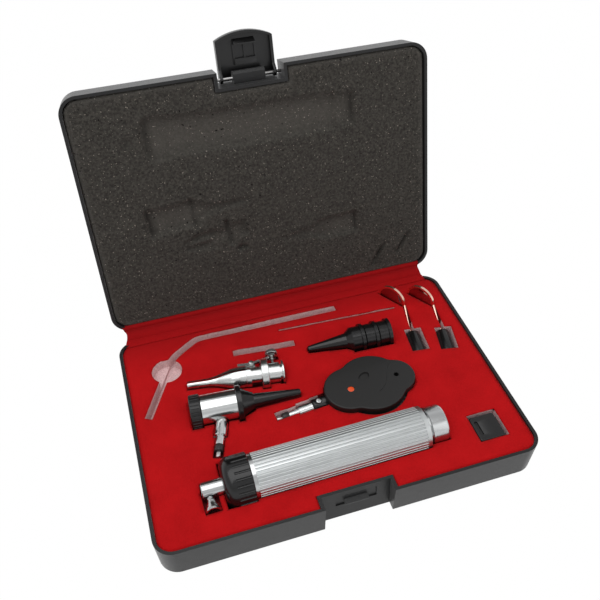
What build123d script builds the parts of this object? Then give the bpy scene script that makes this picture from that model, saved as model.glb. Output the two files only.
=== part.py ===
from build123d import *
from math import atan2, cos, degrees, hypot, radians, sin
import os

os.makedirs("parts", exist_ok=True)

# ---------------------------------------------------------------- driving sizes, millimetres
# Case. Origin at the middle of the underside, +X along the long side, +Y to the hinge, +Z up.
case_width = 240.0
case_depth = 166.0
base_height = 24.5
lid_height = 18.5
corner_radius = 12.0
wall = 2.0
wall_lean = 1.0          # how far each wall leans in from rim to floor
edge_radius = 1.8        # outer floor and lid edges
notch_half = 21.6        # half width of the latch recess in both shells
base_notch_rim = 8.5     # depth of the base recess at the rim
base_notch_floor = 6.0   # and at the floor
lid_notch = 9.7


def spot(across, back):
    """Point of the tray, given as shares of the case's half width and half depth."""
    return (across * case_width / 2, back * case_depth / 2)


# Hinge. The axis lies behind and a little under the rim.
hinge_back = 5.5
hinge_drop = 1.8
open_angle = 104.4
hinge_spread = 70.0      # middle of each hinge from the middle of the case
lid_knuckle_length = 12.0
base_knuckle_length = 8.0
knuckle_gap = 0.3
knuckle_radius = 3.6
hinge_pin_radius = 1.2
running_gap = 0.05       # radial clearance of everything that turns on a pin
seat_gap = 0.02          # radial clearance of a pin in the piece that holds it

# Latch flap, drawn as it hangs when closed.
latch_pivot_in = 6.5     # pivot behind the front face
latch_pivot_up = 9.0     # pivot above the rim
latch_pin_radius = 1.0
flap_half = 18.5
flap_reach = 6.6         # outer face in front of the pivot
flap_length = 22.8       # pivot to the corners of the lip
flap_lip = 4.6           # how much lower the middle of the lip hangs
flap_skin = 1.5
flap_cheek = 1.8
flap_rib = 1.2
flap_depth = 5.2         # cheeks, from the outer face
flap_lip_depth = 4.5
flap_block = (7.0, 10.8)  # block behind the skin, from and to, below the pivot
hook_half = 7.0
hook_drop = 19.6         # top of the hook below the pivot
hook_thick = 1.6
hook_reach = 0.2         # tip of the hook behind the pivot
keeper_grip = 1.3        # how far hook and keeper overlap
keeper_gap = 0.12        # between them when latched
keeper_half = 7.5
keeper_height = 2.2
panel_half = 13.0        # sunk panel round the keeper
panel_span = (12.6, 21.0)
panel_depth = 0.8
flap_rise = 2.6          # flap above the pivot
lug_half = 10.5          # lug of the lid that holds the middle of the pin
lug_reach = 4.2
lug_rise = 2.8
lug_slope = 1.5

# Linings.
floor_gap = 0.25         # foam to shell
foam_top_drop = 1.7      # foam surface under the rim
felt_thick = 0.7
strip_thick = 0.6
strip_tuck = 2.0         # how far the strip reaches over the felt of the tray
strip_half = 114.0
lid_foam_drop = 0.9      # face of the lid foam under its rim
pocket_gap = 0.3         # room round an instrument
pocket_floor_gap = 0.3

# Battery handle, a ribbed tube for two C cells.
handle_middle = spot(0.0, -0.5735)
handle_turn = 0.76
axis_height = 23.6       # height of the handle axis
tube_radius = 14.3
tube_length = 109.4
tube_bore = 13.3
tube_band = 2.6          # plain band at the right end
flute_count = 44
flute_radius = 0.55
flange_length = 2.3
flange_radius = 14.6
collar_length = 17.5
collar_radius = 16.0
collar_nose = 9.5
collar_dome = 6.5
dome_bulge = 6.2         # room for the roundness of the dome in its pocket
collar_rib_count = 24
collar_rib_radius = 0.8
core_radius = 7.0
socket_length = 12.8
socket_radius = 5.4
socket_bore = 4.35
socket_depth = 16.0
socket_deep = 25.6       # narrow part of the bore, for the plug's tip
socket_deep_radius = 3.1
plug_length = 2.1
screw_place = 4.2        # clamp screw from the mouth of the socket
screw_radius = 1.5
screw_head_radius = 4.7
screw_head_length = 7.5
screw_neck = 2.2
cap_radius = 12.6
cap_length = 11.0
cap_groove = 2.0
cap_groove_radius = 10.8
cap_plug_length = 4.5
cap_round = 1.6
track_thick = 1.6
track_radius = 11.5
wiper_room = 1.8
collar_gap = 0.1
bush_radius = 3.0
handle_pin_radius = 1.2
cell_radius = 13.1
cell_length = 50.0
cell_button_radius = 3.3
cell_button_height = 1.2
spring_wire = 0.4
spring_turns = 2.0
spring_radius = 6.0

# Otoscope head. Lengths run from the eyepiece to the speculum tip.
oto_tip = spot(-0.0867, 0.0349)
oto_turn = -4.0
oto_height = 26.0
eyepiece_length = 7.0
eyepiece_radius = 11.2
eyepiece_bore = 8.2
eyepiece_rib_count = 30
lens_thick = 2.4
lens_place = 2.0
lens_sag = 0.4
eyepiece_spigot = 3.0
oto_root_radius = 3.4
holder_spigot = 3.0
barrel_length = 23.0
barrel_radius = 10.0
barrel_wall = 1.0
holder_ring_length = 3.6
holder_ring_radius = 12.0
holder_step = 2.5        # from the ring down to the root of the cone
holder_cone_length = 7.6
holder_nose_radius = 5.4
speculum_length = 38.0
speculum_show = 31.0     # length that stands out of the holder
speculum_tip_radius = 2.2
speculum_root_radius = 4.7
speculum_wall = 0.55
stem_sink = 2.6          # stem axis under the barrel axis
stem_place = 21.2        # from the eyepiece face to where the stem meets the axis
stem_tilt = 14.0
collet_radius = 4.2
collet_length = 10.0
collet_slot = 1.0
stem_neck_radius = 2.9
stem_neck_length = 6.5
insulator_radius = 2.9
insulator_length = 4.5
contact_radius = 1.5
contact_length = 4.2
lamp_radius = 1.6
lamp_length = 7.0

# Nasal speculum. Lengths are from the middle of the flange, minus towards the tip.
nasal_place = spot(-0.2367, 0.2988)
nasal_turn = -7.6
nasal_height = 25.0
nasal_flange_radius = 10.7
nasal_flange_length = 5.0
nasal_body_radius = 6.0
nasal_body_length = 10.0
nasal_bore = 4.6
nasal_collar_radius = 7.2
nasal_collar_length = 7.5
nasal_rim_radius = 8.2
nasal_rim_length = 1.4
nasal_neck_length = 1.4
blade_length = 39.5
blade_tip_radius = 2.6
blade_root_radius = 7.8
blade_swell = (0.35, 0.85)  # shares of the length between which the blades widen
blade_taper = 0.14
blade_steps = 8
blade_bead = 0.3         # bead where the fixed blade meets its ring
blade_wall = 0.9
blade_gap = 0.8          # each blade from the middle plane
blade_low = 0.6          # lower edge of the moving blade over the axis
root_ring_length = 3.0
ear_thick = 1.2
ear_radius = 2.2
ear_low = 1.0            # lower face of the fixed ear over the axis
pivot_along = -8.0
pivot_across = 8.0
pivot_radius = 0.9
lever_thick = 2.0        # height of the lever, which lies on the fixed ear
lever_width = 1.6
lever_end = (6.2, 11.6)
lever_eye = 2.4
lever_notch = 6.0
lever_half = 5.0         # pocket of the lever, as wide as it swings
lever_out = 8.6
nasal_screw_radius = 1.0
nasal_nut_near = 13.2
nasal_nut_radius = 4.2
nasal_nut_length = 2.6
nasal_nut_ribs = 18

# Ophthalmoscope head: three round lobes joined into one outline.
oph_centre = spot(0.3067, -0.0542)
oph_turn = 2.0
oph_height = 20.0        # where the two housings meet
oph_middle_radius = 22.6
oph_foot_radius = 17.2   # lobe at the stem
oph_foot_place = -15.5
oph_brow_radius = 13.4   # lobe at the sight hole
oph_brow_place = 16.6
oph_blend = 9.0
oph_back_depth = 8.0
oph_front_depth = 7.4
oph_edge = 0.9
wheel_radius = 23.8
wheel_thick = 3.0
wheel_gap = 0.25
wheel_notches = 48
wheel_notch_radius = 0.7
wheel_lens_reach = 17.5
wheel_lens_radius = 1.9
wheel_lens_count = 12
wheel_pin_radius = 1.6
wheel_pin_sink = 1.5
wheel_pin_top = 24.0
light_height = 15.2
light_radius = 2.2
oph_root_radius = 3.2
oph_root_start = 11.2
neck_screw_place = 9.3
dial_dot_place = (-15.4, -1.3)  # window for the lens number
dial_dot_radius = 2.2
sight_radius = 1.7
dial_dish_place = (-3.6, 5.4)
dial_dish_radius = 4.2
dial_dish_depth = 1.2
brow_line = ((17.6, 10.8), (12.6, 4.2), (8.6, -3.6), (1.6, -9.4))
brow_line_width = 0.6
brow_line_depth = 0.4
oph_neck_radius = 4.8
oph_neck_length = 14.0
oph_neck_root = 4.4      # from the middle line of the foot lobe's edge
oph_stem_turn = 6.3
oph_stem_height = 19.4
neck_screw_radius = 1.9
neck_screw_head = 1.0

# Spare ear specula, nested along one line.
spare_tip = spot(0.05, 0.453)
spare_turn = -2.0
spare_height = 25.0
spare_count = 3
spare_step = 9.8
spare_cone = 27.0
spare_flare = 4.0
spare_skirt = 6.4
spare_rim = 2.2
spare_tip_radius = 2.0
spare_root_radius = 5.6
spare_skirt_radius = 8.8
spare_rim_radius = 10.0
spare_wall = 0.6

# Throat mirrors, stored on edge in slits, each with a wire stem and a clip sleeve.
mirror_sets = (
    (spot(0.67, 0.8024), -57.0, spot(0.6825, 0.2964), -96.0),
    (spot(0.8383, 0.7277), -57.0, spot(0.8517, 0.2361), -101.0),
)
mirror_radius = 11.4
mirror_frame_thick = 1.7
mirror_glass_thick = 0.8
mirror_glass_inset = 1.5
mirror_height = 23.8
stem_wire_radius = 0.9
wire_lead = 3.0
sleeve_radius = 5.2
sleeve_length = 19.0
sleeve_height = 17.2
sleeve_bore = 1.9
sleeve_room = 0.6
sleeve_bore_depth = 12.0
wire_grip = 5.0

# Spare bulb box.
bulb_box_place = spot(0.7808, -0.6952)
bulb_box_size = (17.0, 18.2)
bulb_box_room = 0.9      # the pocket is larger towards the back and the right
bulb_box_bottom = 10.0
bulb_box_split = 18.0
bulb_box_top = 23.4
bulb_box_wall = 1.2
bulb_box_groove = (2.4, 11.0)
bulb_box_groove_place = -5.6
lid_lip = 1.5
bulb_radius = 2.8
bulb_length = 9.0

# Empty slots of the tray.
slot_width = 5.2
slot_floor = 13.0
arm_slot = (spot(0.3117, 0.8602), spot(-0.55, 0.8783), spot(-0.7067, 0.7289), spot(-0.9075, 0.1639))
arm_bend = 17.0
finger_place = spot(-0.7567, 0.6)
finger_radius = 10.2
finger_floor = 15.6
blade_slot = (spot(-0.3683, 0.6205), spot(-0.0083, 0.5736))
slit = (spot(-0.0667, 0.7554), spot(0.6583, 0.7036))
slit_width = 1.3
slit_floor = 18.5

# ---------------------------------------------------------------- frames and helpers
hinge_y = case_depth / 2 + hinge_back
hinge_z = base_height - hinge_drop
foam_top = base_height - foam_top_drop
felt_top = foam_top + felt_thick
closed_top = base_height + lid_height
front_y = -case_depth / 2

swing = radians(open_angle)
lid_up = Vector(0, sin(swing), cos(swing))
lid_back = hinge_y - hinge_y * cos(swing) - hinge_z * sin(swing)
lid_rise = hinge_z + hinge_y * sin(swing) - hinge_z * cos(swing)
lid_frame = Plane(
    origin=(0, lid_back, lid_rise),
    x_dir=(1, 0, 0),
    z_dir=lid_up,
)
base_frame = Plane.XY
pivot_y = front_y + latch_pivot_in
pivot_z = base_height + latch_pivot_up
flap_frame = Plane(
    origin=lid_frame.from_local_coords(Vector(0, pivot_y, pivot_z)),
    x_dir=lid_frame.x_dir,
    z_dir=lid_frame.y_dir,
)


def side_plane(frame, x):
    """Plane across X at x, drawn as (y, z) of the frame, with its normal along X."""
    return Plane(origin=frame.from_local_coords(Vector(x, 0, 0)), x_dir=frame.y_dir, z_dir=frame.x_dir)


def lying(place, turn, height):
    """Frame of an instrument that lies in the tray: x along it, z up."""
    return Plane(
        origin=(place[0], place[1], height),
        x_dir=(cos(radians(turn)), sin(radians(turn)), 0),
        z_dir=(0, 0, 1),
    )


def shifted(frame, along, across=0.0, up=0.0):
    return Plane(
        origin=frame.from_local_coords(Vector(along, across, up)), x_dir=frame.x_dir, z_dir=frame.z_dir
    )


def cross_plane(frame, along):
    """Plane across an instrument, its normal along the instrument."""
    return Plane(
        origin=frame.from_local_coords(Vector(along, 0, 0)), x_dir=frame.y_dir, z_dir=frame.x_dir
    )


def turned(frame, points):
    """Solid of revolution about the frame's x axis, from (along, radius) points."""
    with BuildPart() as solid:
        with BuildSketch(frame):
            with BuildLine():
                Polyline(*points, close=True)
            make_face()
        revolve(axis=Axis(frame.origin, frame.x_dir))
    return solid.part


def case_form(frame, z_rim, z_far, inset, notch_rim, notch_far):
    """Lofted block between rim and far plane, with the latch recess cut out of its front."""
    lean = inset + wall_lean
    low = min(z_rim, z_far)
    with BuildPart() as form:
        with BuildSketch(frame.offset(z_rim)):
            RectangleRounded(case_width - 2 * inset, case_depth - 2 * inset, corner_radius - inset)
        with BuildSketch(frame.offset(z_far)):
            RectangleRounded(case_width - 2 * lean, case_depth - 2 * lean, corner_radius - inset)
        loft()
        with BuildSketch(side_plane(frame, -notch_half - inset)):
            with BuildLine():
                Polyline(
                    (front_y - 5, z_rim),
                    (front_y + notch_rim + inset, z_rim),
                    (front_y + notch_far + inset, z_far),
                    (front_y - 5, z_far),
                    close=True,
                )
            make_face()
        extrude(amount=2 * (notch_half + inset), mode=Mode.SUBTRACT)
    return form.part


def knuckles(frame, spans, arm):
    """Hinge barrels over the given X spans, each with the arm that joins it to its wall."""
    with BuildPart() as group:
        for low, high in spans:
            with BuildSketch(side_plane(frame, low)):
                with Locations((hinge_y, hinge_z)):
                    Circle(knuckle_radius)
                with BuildLine():
                    Polyline(*[(hinge_y + y, hinge_z + z) for y, z in arm], close=True)
                make_face()
            extrude(amount=high - low)
    return group.part


def hinge_holes(frame, radius):
    with BuildPart() as holes:
        for middle in (-hinge_spread, hinge_spread):
            reach = lid_knuckle_length / 2 + base_knuckle_length + 1
            with BuildSketch(side_plane(frame, middle - reach)):
                with Locations((hinge_y, hinge_z)):
                    Circle(radius)
            extrude(amount=2 * reach)
    return holes.part


# ---------------------------------------------------------------- instrument frames
tube_left = -tube_length / 2
tube_right = tube_length / 2
flange_left = tube_left - flange_length
collar_left = flange_left - collar_length
socket_left = collar_left - socket_length
cap_left = tube_right + cap_groove
cap_right = cap_left + cap_length
handle_frame = lying(handle_middle, handle_turn, axis_height)
screw_along = socket_left + screw_place
screw_start = handle_frame.from_local_coords(Vector(screw_along, 0, 0))
screw_frame = lying(tuple(screw_start), handle_turn - 90, axis_height)
screw_end = socket_radius + screw_neck + screw_head_length

barrel_right = eyepiece_length + barrel_length
ring_right = barrel_right + holder_ring_length
cone_right = ring_right + holder_cone_length
oto_length = cone_right + speculum_show
oto_frame = shifted(lying(oto_tip, oto_turn, oto_height), -oto_length)
stem_start = oto_frame.from_local_coords(Vector(stem_place, 0, -stem_sink))
stem_frame = lying(tuple(stem_start), oto_turn - 90 - stem_tilt, stem_start.Z)
collet_start = barrel_radius / cos(radians(stem_tilt)) + collet_radius * sin(radians(stem_tilt)) + 0.3

nasal_frame = lying(nasal_place, nasal_turn, nasal_height)
flange_front = -nasal_flange_length / 2
flange_back = nasal_flange_length / 2
body_front = flange_front - nasal_body_length
blade_tip = body_front - blade_length
collar_back = flange_back + nasal_collar_length
neck_back = collar_back + nasal_neck_length
nasal_tail = neck_back + nasal_rim_length

oph_frame = lying(oph_centre, oph_turn, oph_height)
oph_neck_place = oph_frame.from_local_coords(Vector(oph_foot_place - oph_foot_radius + oph_neck_root, 0, 0))
oph_stem_frame = lying(tuple(oph_neck_place), 180 + oph_stem_turn, oph_stem_height)

spare_frame = lying(spare_tip, spare_turn, spare_height)
spare_length = spare_cone + spare_flare + spare_skirt + spare_rim
spare_total = spare_length + (spare_count - 1) * spare_step

bulb_box_frame = lying(bulb_box_place, 0, 0)


def stem_ends(start):
    """Ends of the collet, neck, insulator and contact of a stem whose collet begins at start."""
    collet_end = start + collet_length
    neck_end = collet_end + stem_neck_length
    insulator_end = neck_end + insulator_length
    return collet_end, neck_end, insulator_end, insulator_end + contact_length


# ---------------------------------------------------------------- pockets of the tray
def bar(frame, low, high, half, floor, far_half=None, across=0.0):
    """Pocket over low to high along an instrument: plane, length, half widths at both ends, floor."""
    far_half = half if far_half is None else far_half
    length = high - low + 2 * pocket_gap
    middle = shifted(frame, (low + high) / 2, across)
    return middle, length, half + pocket_gap, far_half + pocket_gap, floor - pocket_floor_gap


def handle_pockets():
    low = axis_height - flange_radius
    dome_right = collar_left + collar_dome
    collar_low = axis_height - collar_radius
    return [
        bar(handle_frame, flange_left, tube_right, flange_radius, low),
        bar(handle_frame, tube_right, cap_right, cap_radius, axis_height - cap_radius),
        bar(handle_frame, collar_left, dome_right, collar_nose + dome_bulge, collar_low, collar_radius),
        bar(handle_frame, dome_right, flange_left, collar_radius, collar_low),
        bar(handle_frame, socket_left, collar_left, socket_radius, axis_height - socket_radius),
        bar(screw_frame, 0, screw_end, screw_head_radius, axis_height - screw_head_radius),
    ]


def stem_pockets(frame, start):
    collet_end, neck_end, insulator_end, contact_end = stem_ends(start)
    low = frame.origin.Z
    return [
        bar(frame, start - collet_radius, collet_end, collet_radius, low - collet_radius),
        bar(frame, collet_end, contact_end, stem_neck_radius, low - collet_radius),
    ]


def otoscope_pockets():
    low = oto_height - holder_ring_radius
    tip_low = oto_height - speculum_root_radius
    return [
        bar(oto_frame, 0, eyepiece_length, eyepiece_radius, low),
        bar(oto_frame, eyepiece_length, barrel_right, barrel_radius, low),
        bar(oto_frame, barrel_right, ring_right, holder_ring_radius, low),
        bar(oto_frame, ring_right, cone_right, holder_ring_radius - holder_step, low, holder_nose_radius),
        bar(oto_frame, cone_right, oto_length, speculum_root_radius, tip_low, speculum_tip_radius),
    ] + stem_pockets(stem_frame, collet_start)


def blade_radius(share):
    """Radius of the closed blades at a share of their length, slender first, then swelling."""
    swell = min(max((share - blade_swell[0]) / (blade_swell[1] - blade_swell[0]), 0), 1)
    grow = blade_taper * share + (1 - blade_taper) * swell * swell * (3 - 2 * swell)
    return blade_tip_radius + (blade_root_radius - blade_tip_radius) * grow


def nasal_pockets():
    ring_half = blade_root_radius + blade_bead
    ear_frame = shifted(nasal_frame, pivot_along, pivot_across)
    lever_frame = shifted(nasal_frame, lever_end[0])
    nut_low = nasal_height - nasal_nut_radius
    nut_half = nasal_nut_length / 2
    rows = [
        bar(nasal_frame, flange_front, flange_back, nasal_flange_radius, nasal_height - nasal_flange_radius),
        bar(nasal_frame, flange_back, collar_back, nasal_collar_radius, nasal_height - nasal_collar_radius),
        bar(nasal_frame, collar_back, nasal_tail, nasal_rim_radius, nasal_height - nasal_rim_radius),
        bar(nasal_frame, body_front, flange_front, ring_half, nasal_height - ring_half),
        bar(ear_frame, -ear_radius, ear_radius, ear_radius, nasal_height),
        bar(lever_frame, -lever_eye, lever_eye, lever_half, nasal_height, across=lever_out),
        bar(
            lever_frame, -nasal_nut_radius, nasal_nut_radius, nut_half, nut_low, across=nasal_nut_near + nut_half
        ),
    ]
    for step in range(blade_steps):
        near, far = step / blade_steps, (step + 1) / blade_steps
        low = nasal_height - blade_radius(far)
        rows.append(bar(nasal_frame, blade_tip + blade_length * near, blade_tip + blade_length * far,
                        blade_radius(near), low, blade_radius(far)))
    return rows


def spare_pockets():
    low = spare_height - spare_rim_radius
    tip_low = spare_height - spare_skirt_radius
    skirt_start = spare_cone + spare_flare
    return [
        bar(spare_frame, 0, spare_cone, spare_tip_radius, tip_low, spare_root_radius),
        bar(spare_frame, spare_cone, skirt_start, spare_root_radius, low, spare_skirt_radius),
        bar(spare_frame, skirt_start, spare_total, spare_rim_radius, low),
    ]


def mirror_pockets():
    rows = []
    for disc, disc_turn, sleeve, sleeve_turn in mirror_sets:
        mirror_frame = lying(disc, disc_turn, mirror_height)
        sleeve_frame = lying(sleeve, sleeve_turn, sleeve_height)
        sleeve_end = sleeve_length / 2 + sleeve_room
        sleeve_low = sleeve_height - sleeve_radius
        disc_low = mirror_height - mirror_radius
        rows.append(bar(mirror_frame, -mirror_radius, mirror_radius, mirror_frame_thick / 2, disc_low))
        rows.append(bar(sleeve_frame, -sleeve_end, sleeve_end, sleeve_radius + sleeve_room, sleeve_low))
        route = wire_route(disc, disc_turn, sleeve, sleeve_turn)
        for start, end in zip(route, route[1:]):
            run = hypot(end[0] - start[0], end[1] - start[1])
            way = degrees(atan2(end[1] - start[1], end[0] - start[0]))
            wire_low = sleeve_height - stem_wire_radius
            rows.append(bar(lying(start, way, 0), -stem_wire_radius, run, stem_wire_radius, wire_low))
    return rows


def wire_route(disc, disc_turn, sleeve, sleeve_turn):
    """Points of a mirror's wire stem, from the rim of the disc to the mouth of the sleeve."""
    sleeve_frame = lying(sleeve, sleeve_turn, sleeve_height)
    rim = lying(disc, disc_turn, mirror_height).from_local_coords(Vector(mirror_radius - 0.2, 0, 0))
    mouth = sleeve_frame.from_local_coords(Vector(-sleeve_length / 2, 0, 0))
    lead = sleeve_frame.from_local_coords(Vector(-sleeve_length / 2 - wire_lead, 0, 0))
    return [tuple(rim), tuple(lead), tuple(mouth)]


box_half = (bulb_box_size[0] / 2, bulb_box_size[1] / 2)
oph_neck_low = oph_stem_height - oph_neck_radius
pockets = (
    handle_pockets()
    + otoscope_pockets()
    + nasal_pockets()
    + stem_pockets(oph_stem_frame, oph_neck_length)
    + [bar(oph_stem_frame, -oph_neck_root, oph_neck_length, oph_neck_radius, oph_neck_low)]
    + spare_pockets()
    + mirror_pockets()
    + [bar(bulb_box_frame, -box_half[0], box_half[0] + 2 * bulb_box_room, box_half[1] + bulb_box_room,
           bulb_box_bottom + pocket_floor_gap, across=bulb_box_room)]
)


def cut_pockets(top, low_limit):
    """Everything that is cut out of the tray, from each floor, or the lower limit, up to top."""
    with BuildPart() as cuts:
        for middle, length, near, far, floor in pockets:
            low = max(floor, low_limit)
            half = length / 2
            with BuildSketch(Plane(origin=(middle.origin.X, middle.origin.Y, low), x_dir=middle.x_dir)):
                with BuildLine():
                    Polyline((-half, -near), (half, -far), (half, far), (-half, near), close=True)
                make_face()
            extrude(amount=top - low)
        low = max(oph_height - oph_back_depth - pocket_floor_gap, low_limit)
        with BuildSketch(Plane(origin=(*oph_centre, low), x_dir=oph_frame.x_dir, z_dir=(0, 0, 1))):
            oph_outline(pocket_gap)
            Circle(wheel_radius + pocket_gap)
        extrude(amount=top - low)
        low = max(slot_floor, low_limit)
        with BuildSketch(Plane.XY.offset(low)):
            with BuildLine():
                FilletPolyline(*arm_slot, radius=arm_bend)
            trace(line_width=slot_width)
            with BuildLine():
                Line(*blade_slot)
            trace(line_width=slot_width)
        extrude(amount=top - low)
        low = max(finger_floor, low_limit)
        with BuildSketch(Plane.XY.offset(low)):
            with Locations(finger_place):
                Circle(finger_radius)
        extrude(amount=top - low)
        low = max(slit_floor, low_limit)
        with BuildSketch(Plane.XY.offset(low)):
            with BuildLine():
                Line(*slit)
            trace(line_width=slit_width)
        extrude(amount=top - low)
    return cuts.part


def oph_outline(grow):
    """The lobed outline of the ophthalmoscope head, drawn into the current sketch."""
    with BuildSketch(mode=Mode.PRIVATE) as outline:
        Circle(oph_middle_radius + grow)
        with Locations((oph_foot_place, 0)):
            Circle(oph_foot_radius + grow)
        with Locations((oph_brow_place, 0)):
            Circle(oph_brow_radius + grow)
        fillet(outline.vertices(), radius=oph_blend)
    add(outline.sketch)


def rounded_far_edges(form, frame, z_far, radius):
    """The form with the edges of its far face rounded."""
    with BuildPart() as soft:
        add(form)
        far = [edge for edge in soft.edges() if abs(frame.to_local_coords(edge.center()).Z - z_far) < 0.01]
        fillet(far, radius=radius)
    return soft.part


# ---------------------------------------------------------------- case
base_spans = []
lid_spans = []
for middle in (-hinge_spread, hinge_spread):
    near = lid_knuckle_length / 2 + knuckle_gap
    base_spans.append((middle - near - base_knuckle_length, middle - near))
    base_spans.append((middle + near, middle + near + base_knuckle_length))
    lid_spans.append((middle - lid_knuckle_length / 2, middle + lid_knuckle_length / 2))
base_arm = ((-6.6, 0.5), (-1.6, 3.2), (-1, -3.45), (-6.6, -9))
lid_arm = ((-6.6, 2.8), (-6.6, 10.5), (-1, 3.45), (-2.5, -2.5), (-5.4, 2.8))


def recess_face(height):
    """Back of the base latch recess at a height over the underside."""
    return front_y + base_notch_floor + (base_notch_rim - base_notch_floor) * height / base_height


keeper_low = pivot_z - hook_drop + keeper_gap
keeper_out = hook_reach - keeper_grip

with BuildPart() as base_shell:
    base_form = case_form(base_frame, base_height, 0, 0, base_notch_rim, base_notch_floor)
    add(rounded_far_edges(base_form, base_frame, 0, edge_radius))
    add(case_form(base_frame, base_height, wall, wall, base_notch_rim, base_notch_floor), mode=Mode.SUBTRACT)
    with BuildSketch(side_plane(base_frame, -panel_half)):
        with BuildLine():
            Polyline(
                (front_y, panel_span[0]),
                (recess_face(panel_span[0]) + panel_depth, panel_span[0]),
                (recess_face(panel_span[1]) + panel_depth, panel_span[1]),
                (front_y, panel_span[1]),
                close=True,
            )
        make_face()
    extrude(amount=2 * panel_half, mode=Mode.SUBTRACT)
    with BuildSketch(side_plane(base_frame, -keeper_half)):
        with BuildLine():
            Polyline(
                (pivot_y + 2, keeper_low),
                (pivot_y + keeper_out, keeper_low),
                (pivot_y + keeper_out, keeper_low + keeper_height / 2),
                (pivot_y + 2, keeper_low + keeper_height),
                close=True,
            )
        make_face()
    extrude(amount=2 * keeper_half)
    add(knuckles(base_frame, base_spans, base_arm))
    add(hinge_holes(base_frame, hinge_pin_radius + seat_gap), mode=Mode.SUBTRACT)
base_shell.part.label = "base_shell"
print("base_shell", base_shell.part.volume, len(base_shell.solids()))

with BuildPart() as lid_shell:
    lid_form = case_form(lid_frame, base_height, closed_top, 0, lid_notch, lid_notch)
    add(rounded_far_edges(lid_form, lid_frame, closed_top, edge_radius))
    add(case_form(lid_frame, base_height, closed_top - wall, wall, lid_notch, lid_notch), mode=Mode.SUBTRACT)
    add(knuckles(lid_frame, lid_spans, lid_arm))
    add(hinge_holes(lid_frame, hinge_pin_radius + running_gap), mode=Mode.SUBTRACT)
    with BuildSketch(side_plane(lid_frame, -lug_half)):
        with BuildLine():
            Polyline(
                (front_y + lid_notch + wall / 2, pivot_z + lug_rise),
                (pivot_y - lug_reach + lug_slope, pivot_z + lug_rise),
                (pivot_y - lug_reach, pivot_z + lug_rise - lug_slope),
                (pivot_y - lug_reach, pivot_z - lug_rise + lug_slope),
                (pivot_y - lug_reach + lug_slope, pivot_z - lug_rise),
                (front_y + lid_notch + wall / 2, pivot_z - lug_rise),
                close=True,
            )
        make_face()
    extrude(amount=2 * lug_half)
    with BuildSketch(side_plane(lid_frame, -notch_half - wall - 1)):
        with Locations((pivot_y, pivot_z)):
            Circle(latch_pin_radius + seat_gap)
    extrude(amount=2 * (notch_half + wall + 1), mode=Mode.SUBTRACT)
lid_shell.part.label = "lid_shell"
print("lid_shell", lid_shell.part.volume, len(lid_shell.solids()))

with BuildPart() as hinge_pins:
    for low, high in zip(base_spans[0::2], base_spans[1::2]):
        with BuildSketch(side_plane(base_frame, low[0])):
            with Locations((hinge_y, hinge_z)):
                Circle(hinge_pin_radius)
        extrude(amount=high[1] - low[0])
    chamfer(hinge_pins.edges().filter_by(GeomType.CIRCLE), length=0.3)
hinge_pins.part.label = "hinge_pins"

with BuildPart() as latch_pin:
    with BuildSketch(side_plane(lid_frame, -notch_half - wall + 0.3)):
        with Locations((pivot_y, pivot_z)):
            Circle(latch_pin_radius)
    extrude(amount=2 * (notch_half + wall - 0.3))
latch_pin.part.label = "latch_pin"

# The flap hangs from its pin: skin in front, cheeks that run up to the pin, a lip and the hook.
skin_in = -flap_reach + flap_skin
skin_root = skin_in - flap_skin / 4
cheek_in = -flap_reach + flap_depth
flap_inside = Plane(
    origin=flap_frame.from_local_coords(Vector(0, skin_in, 0)), x_dir=flap_frame.x_dir, z_dir=flap_frame.y_dir
)
lip_low = flap_length + flap_lip
lip_inside = flap_length - flap_skin
with BuildPart() as latch_flap:
    with BuildSketch(flap_inside):
        with BuildLine():
            Polyline(
                (-flap_half, flap_length), (-flap_half, -flap_rise), (flap_half, -flap_rise), (flap_half, flap_length)
            )
            ThreePointArc((flap_half, flap_length), (0, lip_low), (-flap_half, flap_length))
        make_face()
    extrude(amount=-flap_skin)
    with BuildSketch(flap_inside):
        with BuildLine():
            ThreePointArc((-flap_half, flap_length), (0, lip_low), (flap_half, flap_length))
            Line((flap_half, flap_length), (flap_half, lip_inside))
            ThreePointArc((flap_half, lip_inside), (0, lip_inside + flap_lip), (-flap_half, lip_inside))
            Line((-flap_half, lip_inside), (-flap_half, flap_length))
        make_face()
    extrude(amount=flap_lip_depth - flap_skin)
    for low in (-flap_half, flap_half - flap_cheek):
        with BuildSketch(side_plane(flap_frame, low)):
            with BuildLine():
                Polyline(
                    (-flap_reach, flap_rise),
                    (0, flap_rise),
                    (flap_rise, 0),
                    (flap_rise / 2, -flap_rise),
                    (cheek_in, -2 * flap_rise),
                    (cheek_in, -flap_length),
                    (-flap_reach, -flap_length),
                    close=True,
                )
            make_face()
        extrude(amount=flap_cheek)
    with BuildSketch(side_plane(flap_frame, -hook_half)):
        with BuildLine():
            Polyline(
                (skin_root, -hook_drop),
                (hook_reach, -hook_drop),
                (hook_reach, -hook_drop - hook_thick / 2),
                (skin_root, -hook_drop - 2 * hook_thick),
                close=True,
            )
        make_face()
        with BuildLine():
            Polyline(
                (skin_root, -flap_block[0]),
                (cheek_in - 1, -flap_block[0]),
                (cheek_in - 1, -flap_block[1]),
                (skin_root, -flap_block[1]),
                close=True,
            )
        make_face()
    extrude(amount=2 * hook_half)
    for middle in (-hook_half, 0, hook_half):
        with BuildSketch(side_plane(flap_frame, middle - flap_rib / 2)):
            with BuildLine():
                Polyline(
                    (skin_root, -flap_block[0]),
                    (skin_in + flap_rib, -flap_block[0]),
                    (skin_in + flap_rib, -hook_drop),
                    (skin_root, -hook_drop),
                    close=True,
                )
            make_face()
        extrude(amount=flap_rib)
    with BuildSketch(side_plane(flap_frame, -flap_half - 1)):
        Circle(latch_pin_radius + running_gap)
    extrude(amount=2 * flap_half + 2, mode=Mode.SUBTRACT)
latch_flap.part.label = "latch_flap"
print("latch_flap", latch_flap.part.volume, len(latch_flap.solids()))

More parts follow.
